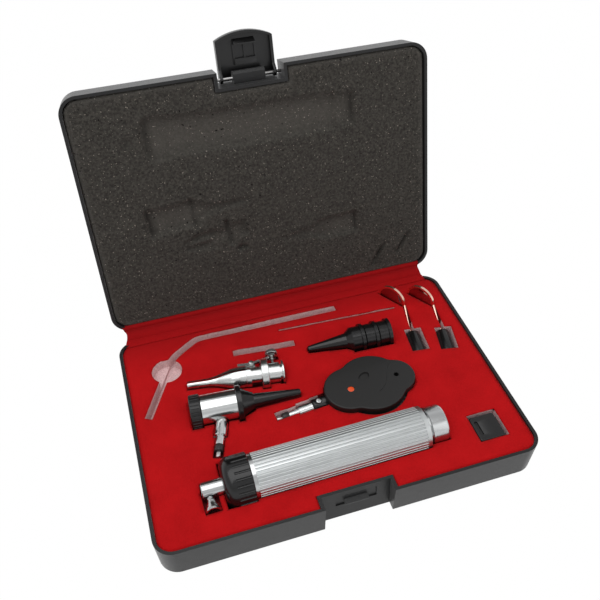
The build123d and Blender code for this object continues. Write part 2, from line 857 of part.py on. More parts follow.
# ---------------------------------------------------------------- linings
foam_inset = wall + floor_gap
with BuildPart() as tray_foam:
    add(case_form(base_frame, foam_top, wall + floor_gap, foam_inset, base_notch_rim, base_notch_floor))
    add(cut_pockets(foam_top + 1, wall + floor_gap + 2), mode=Mode.SUBTRACT)
tray_foam.part.label = "tray_foam"
print("tray_foam", tray_foam.part.volume, len(tray_foam.solids()))

with BuildPart() as tray_felt:
    add(case_form(base_frame, felt_top, wall + floor_gap, foam_inset, base_notch_rim, base_notch_floor))
    with Locations((0, 0, foam_top / 2)):
        Box(case_width, case_depth, foam_top, mode=Mode.SUBTRACT)
    add(cut_pockets(felt_top + 1, foam_top - 1), mode=Mode.SUBTRACT)
tray_felt.part.label = "tray_felt"
print("tray_felt", tray_felt.part.volume, len(tray_felt.solids()))

with BuildPart() as lid_foam:
    lid_foam_low = base_height + lid_foam_drop
    lid_foam_high = closed_top - wall - floor_gap
    add(case_form(lid_frame, lid_foam_low, lid_foam_high, foam_inset, lid_notch, lid_notch))
lid_foam.part.label = "lid_foam"

# A felt strip over the hinge: a tab on the rear rim, then an arc round the hinge axis into the lid.
strip_inner = hinge_back - 0.4
strip_outer = strip_inner + strip_thick
with BuildPart() as hinge_strip:
    with BuildSketch(side_plane(base_frame, -strip_half)):
        with BuildLine():
            near_angle = 161.9
            far_angle = 57.5
            inner = [(hinge_y + strip_inner * cos(radians(a)), hinge_z + strip_inner * sin(radians(a)))
                     for a in (near_angle, (near_angle + far_angle) / 2, far_angle)]
            outer = [(hinge_y + strip_outer * cos(radians(a)), hinge_z + strip_outer * sin(radians(a)))
                     for a in (far_angle, (near_angle + far_angle) / 2, near_angle)]
            ThreePointArc(*inner)
            Line(inner[2], outer[0])
            ThreePointArc(*outer)
            Line(outer[2], inner[0])
        make_face()
        tab_near = case_depth / 2 - wall - strip_tuck
        tab_far = hinge_y + (strip_inner + strip_outer) / 2 * cos(radians(near_angle))
        with Locations(((tab_near + tab_far) / 2, base_height + strip_thick / 2)):
            Rectangle(tab_far - tab_near, strip_thick)
    extrude(amount=2 * strip_half)
hinge_strip.part.label = "hinge_strip"
print("hinge_strip", hinge_strip.part.volume, len(hinge_strip.solids()))
# ---------------------------------------------------------------- battery handle
with BuildPart() as handle_tube:
    with BuildSketch(cross_plane(handle_frame, tube_left)):
        Circle(tube_radius)
        Circle(tube_bore, mode=Mode.SUBTRACT)
        with PolarLocations(tube_radius, flute_count):
            Circle(flute_radius, mode=Mode.SUBTRACT)
    extrude(amount=tube_length - tube_band)
    with BuildSketch(cross_plane(handle_frame, tube_right - tube_band)):
        Circle(tube_radius)
        Circle(tube_bore, mode=Mode.SUBTRACT)
    extrude(amount=tube_band)
handle_tube.part.label = "handle_tube"

track_left = flange_left - track_thick
with BuildPart() as handle_neck:
    add(turned(handle_frame, (
        (socket_left, socket_bore),
        (socket_left, socket_radius - 0.5),
        (socket_left + 0.5, socket_radius),
        (collar_left, socket_radius),
        (collar_left, core_radius),
        (flange_left, core_radius),
        (flange_left, flange_radius),
        (tube_left, flange_radius),
        (tube_left, tube_bore - seat_gap),
        (tube_left + plug_length, tube_bore - seat_gap),
        (tube_left + plug_length, bush_radius + seat_gap),
        (socket_left + socket_deep, bush_radius + seat_gap),
        (socket_left + socket_deep, socket_deep_radius),
        (socket_left + socket_depth, socket_deep_radius),
        (socket_left + socket_depth, socket_bore),
    )))
    with BuildSketch(Plane(origin=screw_frame.origin, x_dir=(0, 0, 1), z_dir=screw_frame.x_dir)):
        Circle(screw_radius + running_gap)
    extrude(amount=socket_radius + 1, mode=Mode.SUBTRACT)
handle_neck.part.label = "handle_neck"

with BuildPart() as contact_bush:
    add(turned(handle_frame, (
        (socket_left + socket_deep, handle_pin_radius + seat_gap),
        (socket_left + socket_deep, bush_radius),
        (tube_left + plug_length, bush_radius),
        (tube_left + plug_length, handle_pin_radius + seat_gap),
    )))
contact_bush.part.label = "contact_bush"

with BuildPart() as contact_pin:
    add(turned(handle_frame, (
        (socket_left + socket_deep - 0.3, 0),
        (socket_left + socket_deep - 0.3, handle_pin_radius - 0.4),
        (socket_left + socket_deep + 0.1, handle_pin_radius),
        (tube_left + plug_length, handle_pin_radius),
        (tube_left + plug_length, 0),
    )))
contact_pin.part.label = "contact_pin"

with BuildPart() as rheostat_track:
    add(turned(handle_frame, (
        (track_left, core_radius + seat_gap),
        (track_left, track_radius),
        (flange_left, track_radius),
        (flange_left, core_radius + seat_gap),
    )))
rheostat_track.part.label = "rheostat_track"

collar_smooth = collar_left + collar_dome
hollow_left = track_left - wiper_room
with BuildPart() as rheostat_collar:
    with BuildSketch(handle_frame):
        with BuildLine():
            Polyline((collar_left, core_radius + running_gap), (collar_left, collar_nose))
            ThreePointArc(
                (collar_left, collar_nose),
                (collar_left + 0.28 * collar_dome, (collar_nose + 2 * collar_radius) / 3 + 0.4),
                (collar_smooth, collar_radius),
            )
            Polyline(
                (collar_smooth, collar_radius),
                (flange_left - collar_gap - 0.6, collar_radius),
                (flange_left - collar_gap, collar_radius - 0.6),
                (flange_left - collar_gap, track_radius + 0.4),
                (hollow_left, track_radius + 0.4),
                (hollow_left, core_radius + running_gap),
                (collar_left, core_radius + running_gap),
            )
        make_face()
    revolve(axis=Axis(handle_frame.origin, handle_frame.x_dir))
    rib_start = collar_left + 0.42 * collar_length
    with BuildSketch(cross_plane(handle_frame, rib_start)):
        with PolarLocations(collar_radius + 0.15, collar_rib_count):
            Circle(collar_rib_radius)
    extrude(amount=flange_left - rib_start, mode=Mode.SUBTRACT)
rheostat_collar.part.label = "rheostat_collar"

with BuildPart() as handle_cap:
    add(turned(handle_frame, (
        (tube_right - cap_plug_length, 0),
        (tube_right - cap_plug_length, tube_bore - running_gap),
        (tube_right, tube_bore - running_gap),
        (tube_right, cap_groove_radius),
        (cap_left, cap_groove_radius),
        (cap_left, cap_radius - 0.4),
        (cap_left + 0.4, cap_radius),
        (cap_right - cap_round, cap_radius),
        (cap_right - 0.3 * cap_round, cap_radius - 0.3 * cap_round),
        (cap_right, cap_radius - cap_round),
        (cap_right, 0),
    )))
handle_cap.part.label = "handle_cap"

cells = []
for number in (1, 2):
    cell_left = tube_left + plug_length + (number - 1) * cell_length
    with BuildPart() as cell:
        add(turned(handle_frame, (
            (cell_left, 0),
            (cell_left, cell_button_radius),
            (cell_left + cell_button_height, cell_button_radius),
            (cell_left + cell_button_height, cell_radius - 0.8),
            (cell_left + cell_button_height + 0.8, cell_radius),
            (cell_left + cell_length - 0.4, cell_radius),
            (cell_left + cell_length, cell_radius - 0.4),
            (cell_left + cell_length, 0),
        )))
    cell.part.label = "battery_" + str(number)
    cells.append(cell.part)

# Conical coil between the last cell and the cap.
spring_left = tube_left + plug_length + 2 * cell_length
spring_run = tube_right - cap_plug_length - spring_left - 2 * spring_wire
spring_start = handle_frame.from_local_coords(Vector(spring_left + spring_wire, 0, 0))
with BuildPart() as cap_spring:
    with BuildLine():
        coil = Helix(
            pitch=spring_run / spring_turns,
            height=spring_run,
            radius=spring_radius,
            center=spring_start,
            direction=handle_frame.x_dir,
        )
    with BuildSketch(Plane(origin=coil @ 0, z_dir=coil % 0)):
        RegularPolygon(radius=spring_wire, side_count=6)
    sweep(path=coil, is_frenet=True)
cap_spring.part.label = "cap_spring"

screw_shoulder = socket_radius + screw_neck
with BuildPart() as clamp_screw:
    add(turned(screw_frame, (
        (socket_bore + 0.1, 0),
        (socket_bore + 0.1, screw_radius),
        (socket_radius + 0.6, screw_radius),
        (socket_radius + 0.6, 0.5 * screw_head_radius),
        (screw_shoulder, 0.5 * screw_head_radius),
        (screw_shoulder + 0.35 * screw_head_length, 0.72 * screw_head_radius),
        (screw_end - 1.2, screw_head_radius),
        (screw_end, screw_head_radius),
        (screw_end, screw_head_radius - 1.1),
        (screw_end - 1.4, 1.2),
        (screw_end - 1.4, 0),
    )))
clamp_screw.part.label = "clamp_screw"
print("handle", handle_tube.part.volume, len(cap_spring.solids()))

# ---------------------------------------------------------------- plug stems of both heads
def plug_stem(frame, start, root, root_radius, bore):
    """Slotted collet and neck that carry a head in the handle socket, bored for the contact rod."""
    collet_end, neck_end, insulator_end, contact_end = stem_ends(start)
    with BuildPart() as stem:
        add(turned(frame, (
            (root, bore),
            (root, root_radius),
            (start, root_radius),
            (start, collet_radius - 0.3),
            (start + 0.3, collet_radius),
            (collet_end - 0.4, collet_radius),
            (collet_end, collet_radius - 0.4),
            (collet_end, stem_neck_radius),
            (neck_end, stem_neck_radius),
            (neck_end, bore),
        )))
        with BuildSketch(cross_plane(frame, start + 0.25 * collet_length)):
            for angle in (0, 90):
                with Locations(Rot(0, 0, angle)):
                    Rectangle(2 * collet_radius + 1, collet_slot)
            Circle(stem_neck_radius - 0.2, mode=Mode.SUBTRACT)
        extrude(amount=collet_length, mode=Mode.SUBTRACT)
    return stem.part


def stem_insulator(frame, start):
    collet_end, neck_end, insulator_end, contact_end = stem_ends(start)
    return turned(frame, (
        (neck_end, contact_radius - 0.5 + seat_gap),
        (neck_end, insulator_radius),
        (insulator_end - 0.4, insulator_radius),
        (insulator_end, insulator_radius - 0.4),
        (insulator_end, contact_radius - 0.5 + seat_gap),
    ))


def stem_contact(frame, start, rod_start):
    """Contact tip with the rod that carries the current up to the lamp."""
    collet_end, neck_end, insulator_end, contact_end = stem_ends(start)
    return turned(frame, (
        (rod_start, 0),
        (rod_start, contact_radius - 0.5),
        (insulator_end, contact_radius - 0.5),
        (insulator_end, contact_radius),
        (contact_end - 0.5, contact_radius),
        (contact_end, contact_radius - 0.5),
        (contact_end, 0),
    ))


# ---------------------------------------------------------------- otoscope head
barrel_bore = barrel_radius - barrel_wall
with BuildPart() as oto_barrel:
    add(turned(oto_frame, (
        (eyepiece_length, barrel_bore),
        (eyepiece_length, barrel_radius - 0.3),
        (eyepiece_length + 0.3, barrel_radius),
        (barrel_right, barrel_radius),
        (barrel_right, barrel_bore),
    )))
    with BuildSketch(cross_plane(stem_frame, 0)):
        Circle(oto_root_radius + seat_gap)
    extrude(amount=barrel_radius + 5, mode=Mode.SUBTRACT)
oto_barrel.part.label = "oto_barrel"

with BuildPart() as speculum_holder:
    add(turned(oto_frame, (
        (barrel_right - holder_spigot, barrel_bore - seat_gap),
        (barrel_right, barrel_bore - seat_gap),
        (barrel_right, holder_ring_radius - 0.5),
        (barrel_right + 0.5, holder_ring_radius),
        (ring_right - 0.5, holder_ring_radius),
        (ring_right, holder_ring_radius - 0.5),
        (ring_right, holder_ring_radius - holder_step),
        (cone_right, holder_nose_radius),
        (cone_right, speculum_root_radius + running_gap),
        (oto_length - speculum_length - 0.3, speculum_root_radius + running_gap),
        (barrel_right - holder_spigot, barrel_bore - 1.6),
    )))
speculum_holder.part.label = "speculum_holder"

with BuildPart() as oto_stem:
    add(plug_stem(stem_frame, collet_start, barrel_bore - 1.5, oto_root_radius, lamp_radius + seat_gap))
oto_stem.part.label = "oto_stem"

oto_lamp_end = barrel_bore - 1.5 + lamp_length - 2.5
with BuildPart() as oto_lamp:
    add(turned(stem_frame, (
        (barrel_bore - 4.0, 0),
        (barrel_bore - 3.6, 0.7 * lamp_radius),
        (barrel_bore - 2.5, lamp_radius),
        (oto_lamp_end, lamp_radius),
        (oto_lamp_end, 0),
    )))
oto_lamp.part.label = "oto_lamp"

with BuildPart() as oto_insulator:
    add(stem_insulator(stem_frame, collet_start))
oto_insulator.part.label = "oto_insulator"

with BuildPart() as oto_contact:
    add(stem_contact(stem_frame, collet_start, oto_lamp_end))
oto_contact.part.label = "oto_contact"

with BuildPart() as eyepiece_ring:
    add(turned(oto_frame, (
        (0.5, eyepiece_bore - 0.8),
        (0, eyepiece_bore + 0.2),
        (0, eyepiece_radius - 0.6),
        (0.6, eyepiece_radius),
        (eyepiece_length - 0.6, eyepiece_radius),
        (eyepiece_length, eyepiece_radius - 0.6),
        (eyepiece_length, barrel_bore - running_gap),
        (eyepiece_length + eyepiece_spigot, barrel_bore - running_gap),
        (eyepiece_length + eyepiece_spigot, eyepiece_bore - 0.8),
        (lens_place + lens_thick, eyepiece_bore - 0.8),
        (lens_place + lens_thick, eyepiece_bore + seat_gap),
        (lens_place, eyepiece_bore + seat_gap),
        (lens_place, eyepiece_bore - 0.8),
    )))
    with BuildSketch(cross_plane(oto_frame, 0.8)):
        with PolarLocations(eyepiece_radius + 0.1, eyepiece_rib_count):
            Circle(0.5)
    extrude(amount=eyepiece_length - 1.6, mode=Mode.SUBTRACT)
eyepiece_ring.part.label = "eyepiece_ring"

lens_steps = [step / 4 for step in range(5)]
lens_back = lens_place + lens_thick
with BuildPart() as magnifier_lens:
    add(turned(oto_frame, (
        [(lens_place + lens_sag * share**2, eyepiece_bore * share) for share in lens_steps]
        + [(lens_back - lens_sag * share**2, eyepiece_bore * share) for share in reversed(lens_steps)]
    )))
magnifier_lens.part.label = "magnifier_lens"

speculum_left = oto_length - speculum_length
with BuildPart() as ear_speculum:
    add(turned(oto_frame, (
        (speculum_left, speculum_root_radius - speculum_wall),
        (speculum_left, speculum_root_radius),
        (cone_right, speculum_root_radius),
        (oto_length - 1.0, speculum_tip_radius),
        (oto_length, speculum_tip_radius - 0.35),
        (oto_length, speculum_tip_radius - speculum_wall - 0.2),
        (oto_length - 1.0, speculum_tip_radius - speculum_wall),
        (cone_right, speculum_root_radius - speculum_wall),
    )))
ear_speculum.part.label = "ear_speculum"
print("otoscope", oto_stem.part.volume, len(oto_stem.solids()))

# ---------------------------------------------------------------- nasal speculum
def beside(frame, gap, far=False):
    """Plane along the frame, upright, gap away from its middle on the near or the far side."""
    return Plane(
        origin=frame.from_local_coords(Vector(0, gap if far else -gap, 0)),
        x_dir=frame.x_dir,
        z_dir=frame.y_dir if far else -frame.y_dir,
    )


def level(frame, height):
    return Plane(origin=frame.from_local_coords(Vector(0, 0, height)), x_dir=frame.x_dir, z_dir=frame.z_dir)


blade_shares = [step / blade_steps for step in range(1, blade_steps)]
blade_outside = [(blade_tip + blade_length * share, blade_radius(share)) for share in blade_shares]
blade_inside = [(along, radius - blade_wall) for along, radius in reversed(blade_outside)]
blade_nose = [
    (blade_tip, blade_tip_radius - blade_wall),
    (blade_tip, blade_tip_radius - 0.3),
    (blade_tip + 0.4, blade_tip_radius),
]
blade_cone = turned(
    nasal_frame,
    blade_nose
    + blade_outside
    + [(body_front, blade_root_radius), (body_front, blade_root_radius - blade_wall)]
    + blade_inside,
)
lever_low = ear_low + ear_thick + 0.1
lever_high = lever_low + lever_thick
lever_middle = (lever_low + lever_high) / 2

with BuildPart() as nasal_body:
    add(turned(nasal_frame, (
        (body_front, nasal_bore),
        (body_front, nasal_body_radius),
        (flange_front, nasal_body_radius),
        (flange_front, nasal_flange_radius - 0.5),
        (flange_front + 0.5, nasal_flange_radius),
        (flange_back - 0.5, nasal_flange_radius),
        (flange_back, nasal_flange_radius - 0.5),
        (flange_back, nasal_bore),
    )))
    with BuildSketch(level(nasal_frame, ear_low)):
        with Locations((pivot_along, pivot_across)):
            Circle(ear_radius)
        with Locations((pivot_along, (pivot_across + nasal_body_radius - 0.8) / 2)):
            Rectangle(2 * ear_radius, pivot_across - nasal_body_radius + 0.8)
    extrude(amount=ear_thick)
    with BuildSketch(level(nasal_frame, ear_low - 0.1)):
        with Locations((pivot_along, pivot_across)):
            Circle(pivot_radius + seat_gap)
    extrude(amount=ear_thick + 0.2, mode=Mode.SUBTRACT)
    with BuildSketch(level(nasal_frame, lever_low - 0.4)):
        with Locations((0, nasal_body_radius + lever_notch / 2)):
            Rectangle(nasal_flange_length + 1, lever_notch)
    extrude(amount=lever_thick + 0.8, mode=Mode.SUBTRACT)
nasal_body.part.label = "nasal_body"

with BuildPart() as nasal_collar:
    add(turned(nasal_frame, (
        (flange_back, nasal_bore),
        (flange_back, nasal_collar_radius),
        (collar_back, nasal_collar_radius),
        (collar_back, nasal_collar_radius - 1.2),
        (neck_back, nasal_collar_radius - 1.2),
        (neck_back, nasal_rim_radius - 0.3),
        (neck_back + 0.3, nasal_rim_radius),
        (nasal_tail - 0.3, nasal_rim_radius),
        (nasal_tail, nasal_rim_radius - 0.3),
        (nasal_tail, nasal_bore),
    )))
    with BuildSketch(Plane(origin=nasal_frame.from_local_coords(Vector(lever_end[0], 0, lever_middle)),
                           x_dir=nasal_frame.x_dir, z_dir=nasal_frame.y_dir)):
        Circle(nasal_screw_radius + running_gap)
    extrude(amount=nasal_collar_radius + 1, mode=Mode.SUBTRACT)
nasal_collar.part.label = "nasal_collar"

ring_back = body_front + root_ring_length
ring_inside = nasal_body_radius + seat_gap
fixed_cone = turned(
    nasal_frame,
    blade_nose
    + blade_outside
    + [
        (body_front - blade_bead, blade_root_radius),
        (body_front, blade_root_radius + blade_bead),
        (ring_back, blade_root_radius + blade_bead),
        (ring_back, ring_inside),
        (body_front, ring_inside),
        (body_front - blade_bead, blade_root_radius - blade_wall),
    ]
    + blade_inside,
)
with BuildPart() as nasal_blade_fixed:
    add(fixed_cone)
    with BuildSketch(beside(nasal_frame, blade_gap)):
        Rectangle(4 * blade_length, 4 * blade_root_radius)
    extrude(amount=-3 * blade_root_radius, mode=Mode.SUBTRACT)
nasal_blade_fixed.part.label = "nasal_blade_fixed"

with BuildPart() as nasal_rivet:
    with BuildSketch(level(nasal_frame, ear_low)):
        with Locations((pivot_along, pivot_across)):
            Circle(pivot_radius)
    extrude(amount=lever_high + 0.1 - ear_low)
    with BuildSketch(level(nasal_frame, lever_high + 0.1)):
        with Locations((pivot_along, pivot_across)):
            Circle(pivot_radius + 0.7)
    extrude(amount=0.8)
nasal_rivet.part.label = "nasal_rivet"

# The moving blade, its ear on the rivet and the lever that runs through the flange to the screw.
lever_run = Vector(lever_end[0] - pivot_along, lever_end[1] - pivot_across)
lever_turn = degrees(atan2(lever_run.Y, lever_run.X))
blade_arm_inner = nasal_body_radius - 0.2
with BuildPart() as nasal_blade:
    add(blade_cone)
    for cutting in (beside(nasal_frame, blade_gap, far=True), level(nasal_frame, blade_low)):
        with BuildSketch(cutting):
            Rectangle(4 * blade_length, 4 * blade_root_radius)
        extrude(amount=-3 * blade_root_radius, mode=Mode.SUBTRACT)
    with BuildSketch(level(nasal_frame, lever_low)):
        with Locations((pivot_along, pivot_across)):
            Circle(ear_radius)
        with Locations(((body_front - 5 + pivot_along) / 2, (blade_arm_inner + pivot_across + 0.6) / 2)):
            Rectangle(pivot_along - body_front + 5, pivot_across + 0.6 - blade_arm_inner)
        with Locations(Location((pivot_along + lever_run.X / 2, pivot_across + lever_run.Y / 2), lever_turn)):
            Rectangle(lever_run.length + 1, lever_width)
    extrude(amount=lever_thick)
    with BuildSketch(Plane(origin=nasal_frame.from_local_coords(
            Vector(lever_end[0], lever_end[1] - lever_width / 2, lever_middle)),
            x_dir=nasal_frame.x_dir, z_dir=nasal_frame.y_dir)):
        Circle(lever_eye + 0.6)
        SlotOverall(2 * lever_eye - 0.4, 2 * (nasal_screw_radius + 0.3), mode=Mode.SUBTRACT)
    extrude(amount=lever_width)
    with BuildSketch(Plane(origin=nasal_frame.from_local_coords(
            Vector(lever_end[0], lever_end[1] - 2 * lever_width, lever_middle)),
            x_dir=nasal_frame.x_dir, z_dir=nasal_frame.y_dir)):
        SlotOverall(2 * lever_eye - 0.4, 2 * (nasal_screw_radius + 0.3))
    extrude(amount=4 * lever_width, mode=Mode.SUBTRACT)
    with BuildSketch(level(nasal_frame, lever_low - 0.1)):
        with Locations((pivot_along, pivot_across)):
            Circle(pivot_radius + running_gap)
    extrude(amount=lever_thick + 0.2, mode=Mode.SUBTRACT)
nasal_blade.part.label = "nasal_blade"

nasal_screw_frame = Plane(
    origin=nasal_frame.from_local_coords(Vector(lever_end[0], 0, lever_middle)),
    x_dir=nasal_frame.y_dir,
    z_dir=nasal_frame.z_dir,
)
nut_far = nasal_nut_near + nasal_nut_length
with BuildPart() as nasal_screw:
    add(turned(nasal_screw_frame, (
        (nasal_bore + 0.4, 0),
        (nasal_bore + 0.4, nasal_screw_radius),
        (nasal_nut_near, nasal_screw_radius),
        (nasal_nut_near, nasal_nut_radius - 0.3),
        (nasal_nut_near + 0.3, nasal_nut_radius),
        (nut_far - 0.3, nasal_nut_radius),
        (nut_far, nasal_nut_radius - 0.3),
        (nut_far, 0),
    )))
    with BuildSketch(cross_plane(nasal_screw_frame, nasal_nut_near)):
        with PolarLocations(nasal_nut_radius + 0.1, nasal_nut_ribs):
            Circle(0.4)
    extrude(amount=nasal_nut_length, mode=Mode.SUBTRACT)
nasal_screw.part.label = "nasal_screw"
print("nasal", nasal_blade.part.volume, len(nasal_blade.solids()), len(nasal_blade_fixed.solids()))

# ---------------------------------------------------------------- ophthalmoscope head
def oph_plane(height):
    return Plane(origin=(*oph_centre, height), x_dir=oph_frame.x_dir, z_dir=(0, 0, 1))


wheel_low = oph_height - wheel_thick / 2
wheel_high = oph_height + wheel_thick / 2
neck_hole = oph_neck_radius + seat_gap
neck_bore = turned(
    oph_stem_frame, ((-1, 0), (-1, neck_hole), (oph_neck_length + 6, neck_hole), (oph_neck_length + 6, 0))
)
light_start = oph_foot_place - oph_foot_radius + oph_neck_root
light_frame = Plane(origin=oph_frame.from_local_coords(Vector(0, 0, light_height - oph_height)),
                    x_dir=oph_frame.x_dir, z_dir=oph_frame.z_dir)

with BuildPart() as oph_back:
    with BuildSketch(oph_plane(oph_height - oph_back_depth)):
        oph_outline(0)
    extrude(amount=oph_back_depth)
    fillet(oph_back.faces().sort_by(Axis.Z)[0].edges(), radius=oph_edge)
    with BuildSketch(oph_plane(wheel_low - wheel_gap)):
        Circle(wheel_radius + wheel_gap)
    extrude(amount=wheel_thick, mode=Mode.SUBTRACT)
    with BuildSketch(oph_plane(oph_height - oph_back_depth - 1)):
        with Locations((wheel_lens_reach, 0)):
            Circle(sight_radius)
    extrude(amount=oph_back_depth + 1, mode=Mode.SUBTRACT)
    add(turned(light_frame, (
        (light_start, 0),
        (light_start, light_radius),
        (wheel_lens_reach - sight_radius - 0.2, light_radius),
        (wheel_lens_reach - sight_radius - 0.2, 0),
    )), mode=Mode.SUBTRACT)
    add(neck_bore, mode=Mode.SUBTRACT)
    with BuildSketch(oph_plane(wheel_low - wheel_pin_sink)):
        Circle(wheel_pin_radius + seat_gap)
    extrude(amount=oph_back_depth, mode=Mode.SUBTRACT)
oph_back.part.label = "oph_back"

with BuildPart() as oph_front:
    with BuildSketch(oph_plane(oph_height)):
        oph_outline(0)
    extrude(amount=oph_front_depth)
    fillet(oph_front.faces().sort_by(Axis.Z)[-1].edges(), radius=oph_edge)
    with BuildSketch(oph_plane(oph_height)):
        Circle(wheel_radius + wheel_gap)
    extrude(amount=wheel_thick / 2 + wheel_gap, mode=Mode.SUBTRACT)
    with BuildSketch(oph_plane(oph_height - 1)):
        with Locations((wheel_lens_reach, 0)):
            Circle(sight_radius)
        with Locations(dial_dot_place):
            Circle(dial_dot_radius + seat_gap)
    extrude(amount=oph_front_depth + 2, mode=Mode.SUBTRACT)
    with BuildSketch(oph_plane(oph_height + oph_front_depth - dial_dish_depth)):
        with Locations(dial_dish_place):
            Ellipse(dial_dish_radius, 0.62 * dial_dish_radius, rotation=35)
    extrude(amount=dial_dish_depth + 1, taper=-20, mode=Mode.SUBTRACT)
    with BuildSketch(oph_plane(oph_height + oph_front_depth - brow_line_depth)):
        with BuildLine():
            Spline(*brow_line)
        trace(line_width=brow_line_width)
    extrude(amount=2 * brow_line_depth, mode=Mode.SUBTRACT)
    add(neck_bore, mode=Mode.SUBTRACT)
    with BuildSketch(oph_plane(oph_height - 1)):
        Circle(wheel_pin_radius + seat_gap)
    extrude(amount=wheel_pin_top - oph_height + 1, mode=Mode.SUBTRACT)
oph_front.part.label = "oph_front"

with BuildPart() as dial_window:
    with BuildSketch(oph_plane(wheel_high + wheel_gap)):
        with Locations(dial_dot_place):
            Circle(dial_dot_radius)
    extrude(amount=oph_height + oph_front_depth - wheel_high - wheel_gap - 0.3)
dial_window.part.label = "dial_window"

with BuildPart() as wheel_pin:
    with BuildSketch(oph_plane(wheel_low - wheel_pin_sink)):
        Circle(wheel_pin_radius)
    extrude(amount=wheel_pin_top - wheel_low + wheel_pin_sink - 0.1)
wheel_pin.part.label = "wheel_pin"

with BuildPart() as lens_wheel:
    with BuildSketch(oph_plane(wheel_low)):
        Circle(wheel_radius)
        Circle(wheel_pin_radius + running_gap, mode=Mode.SUBTRACT)
        with PolarLocations(wheel_radius, wheel_notches):
            Circle(wheel_notch_radius, mode=Mode.SUBTRACT)
        with PolarLocations(wheel_lens_reach, wheel_lens_count):
            Circle(wheel_lens_radius + seat_gap, mode=Mode.SUBTRACT)
    extrude(amount=wheel_thick)
lens_wheel.part.label = "lens_wheel"

with BuildPart() as wheel_lenses:
    with BuildSketch(oph_plane(wheel_low + 0.6)):
        with PolarLocations(wheel_lens_reach, wheel_lens_count):
            Circle(wheel_lens_radius)
    extrude(amount=wheel_thick - 1.2)
wheel_lenses.part.label = "wheel_lenses"

with BuildPart() as oph_lamp:
    add(turned(light_frame, (
        (light_start + 0.4, 0),
        (light_start + 0.4, light_radius - seat_gap),
        (light_start + 4, light_radius - seat_gap),
        (light_start + 4, lamp_radius),
        (light_start + 6.5, lamp_radius),
        (light_start + 7.4, 0),
    )))
oph_lamp.part.label = "oph_lamp"

with BuildPart() as oph_neck:
    add(turned(oph_stem_frame, (
        (0, 0),
        (0, oph_neck_radius),
        (oph_neck_length - 0.8, oph_neck_radius),
        (oph_neck_length, oph_neck_radius - 0.8),
        (oph_neck_length, oph_root_radius + seat_gap),
        (oph_root_start, oph_root_radius + seat_gap),
        (oph_root_start, 0),
    )))
    with BuildSketch(level(oph_stem_frame, oph_neck_radius - 2.4)):
        with Locations((neck_screw_place, 0)):
            Circle(neck_screw_radius - 0.6)
    extrude(amount=3, mode=Mode.SUBTRACT)
    with BuildSketch(level(oph_stem_frame, oph_neck_radius - 0.6)):
        with Locations((neck_screw_place, 0)):
            Circle(neck_screw_radius + 0.3)
    extrude(amount=3, mode=Mode.SUBTRACT)
oph_neck.part.label = "oph_neck"

with BuildPart() as neck_screw:
    with BuildSketch(level(oph_stem_frame, oph_neck_radius - 2.3)):
        with Locations((neck_screw_place, 0)):
            Circle(neck_screw_radius - 0.6 - seat_gap)
    extrude(amount=1.8)
    with BuildSketch(level(oph_stem_frame, oph_neck_radius - 0.6)):
        with Locations((neck_screw_place, 0)):
            Circle(neck_screw_radius)
    extrude(amount=neck_screw_head)
    chamfer(neck_screw.faces().sort_by(Axis.Z)[-1].edges(), length=0.3)
neck_screw.part.label = "neck_screw"

with BuildPart() as oph_stem:
    rod_bore = contact_radius - 0.5 + seat_gap
    add(plug_stem(oph_stem_frame, oph_neck_length, oph_root_start, oph_root_radius, rod_bore))
oph_stem.part.label = "oph_stem"

with BuildPart() as oph_insulator:
    add(stem_insulator(oph_stem_frame, oph_neck_length))
oph_insulator.part.label = "oph_insulator"

with BuildPart() as oph_contact:
    add(stem_contact(oph_stem_frame, oph_neck_length, oph_root_start + 0.2))
oph_contact.part.label = "oph_contact"
print("ophthalmoscope", oph_back.part.volume, len(oph_back.solids()), len(oph_front.solids()))

# ---------------------------------------------------------------- spare ear specula
spares = []
for number in range(spare_count):
    frame = shifted(spare_frame, number * spare_step)
    outside = [
        (spare_cone, spare_root_radius),
        (spare_cone + spare_flare, spare_skirt_radius),
        (spare_length - spare_rim, spare_skirt_radius),
        (spare_length - spare_rim, spare_rim_radius),
    ]
    inside = [
        (spare_length, spare_skirt_radius - spare_wall),
        (spare_cone + spare_flare, spare_skirt_radius - spare_wall),
        (spare_cone, spare_root_radius - spare_wall),
    ]
    with BuildPart() as spare:
        add(turned(frame, [
            (0, spare_tip_radius - spare_wall),
            (0, spare_tip_radius - 0.2),
            (0.3, spare_tip_radius),
        ] + outside + [(spare_length, spare_rim_radius)] + inside))
    spare.part.label = "spare_speculum_" + str(number + 1)
    spares.append(spare.part)

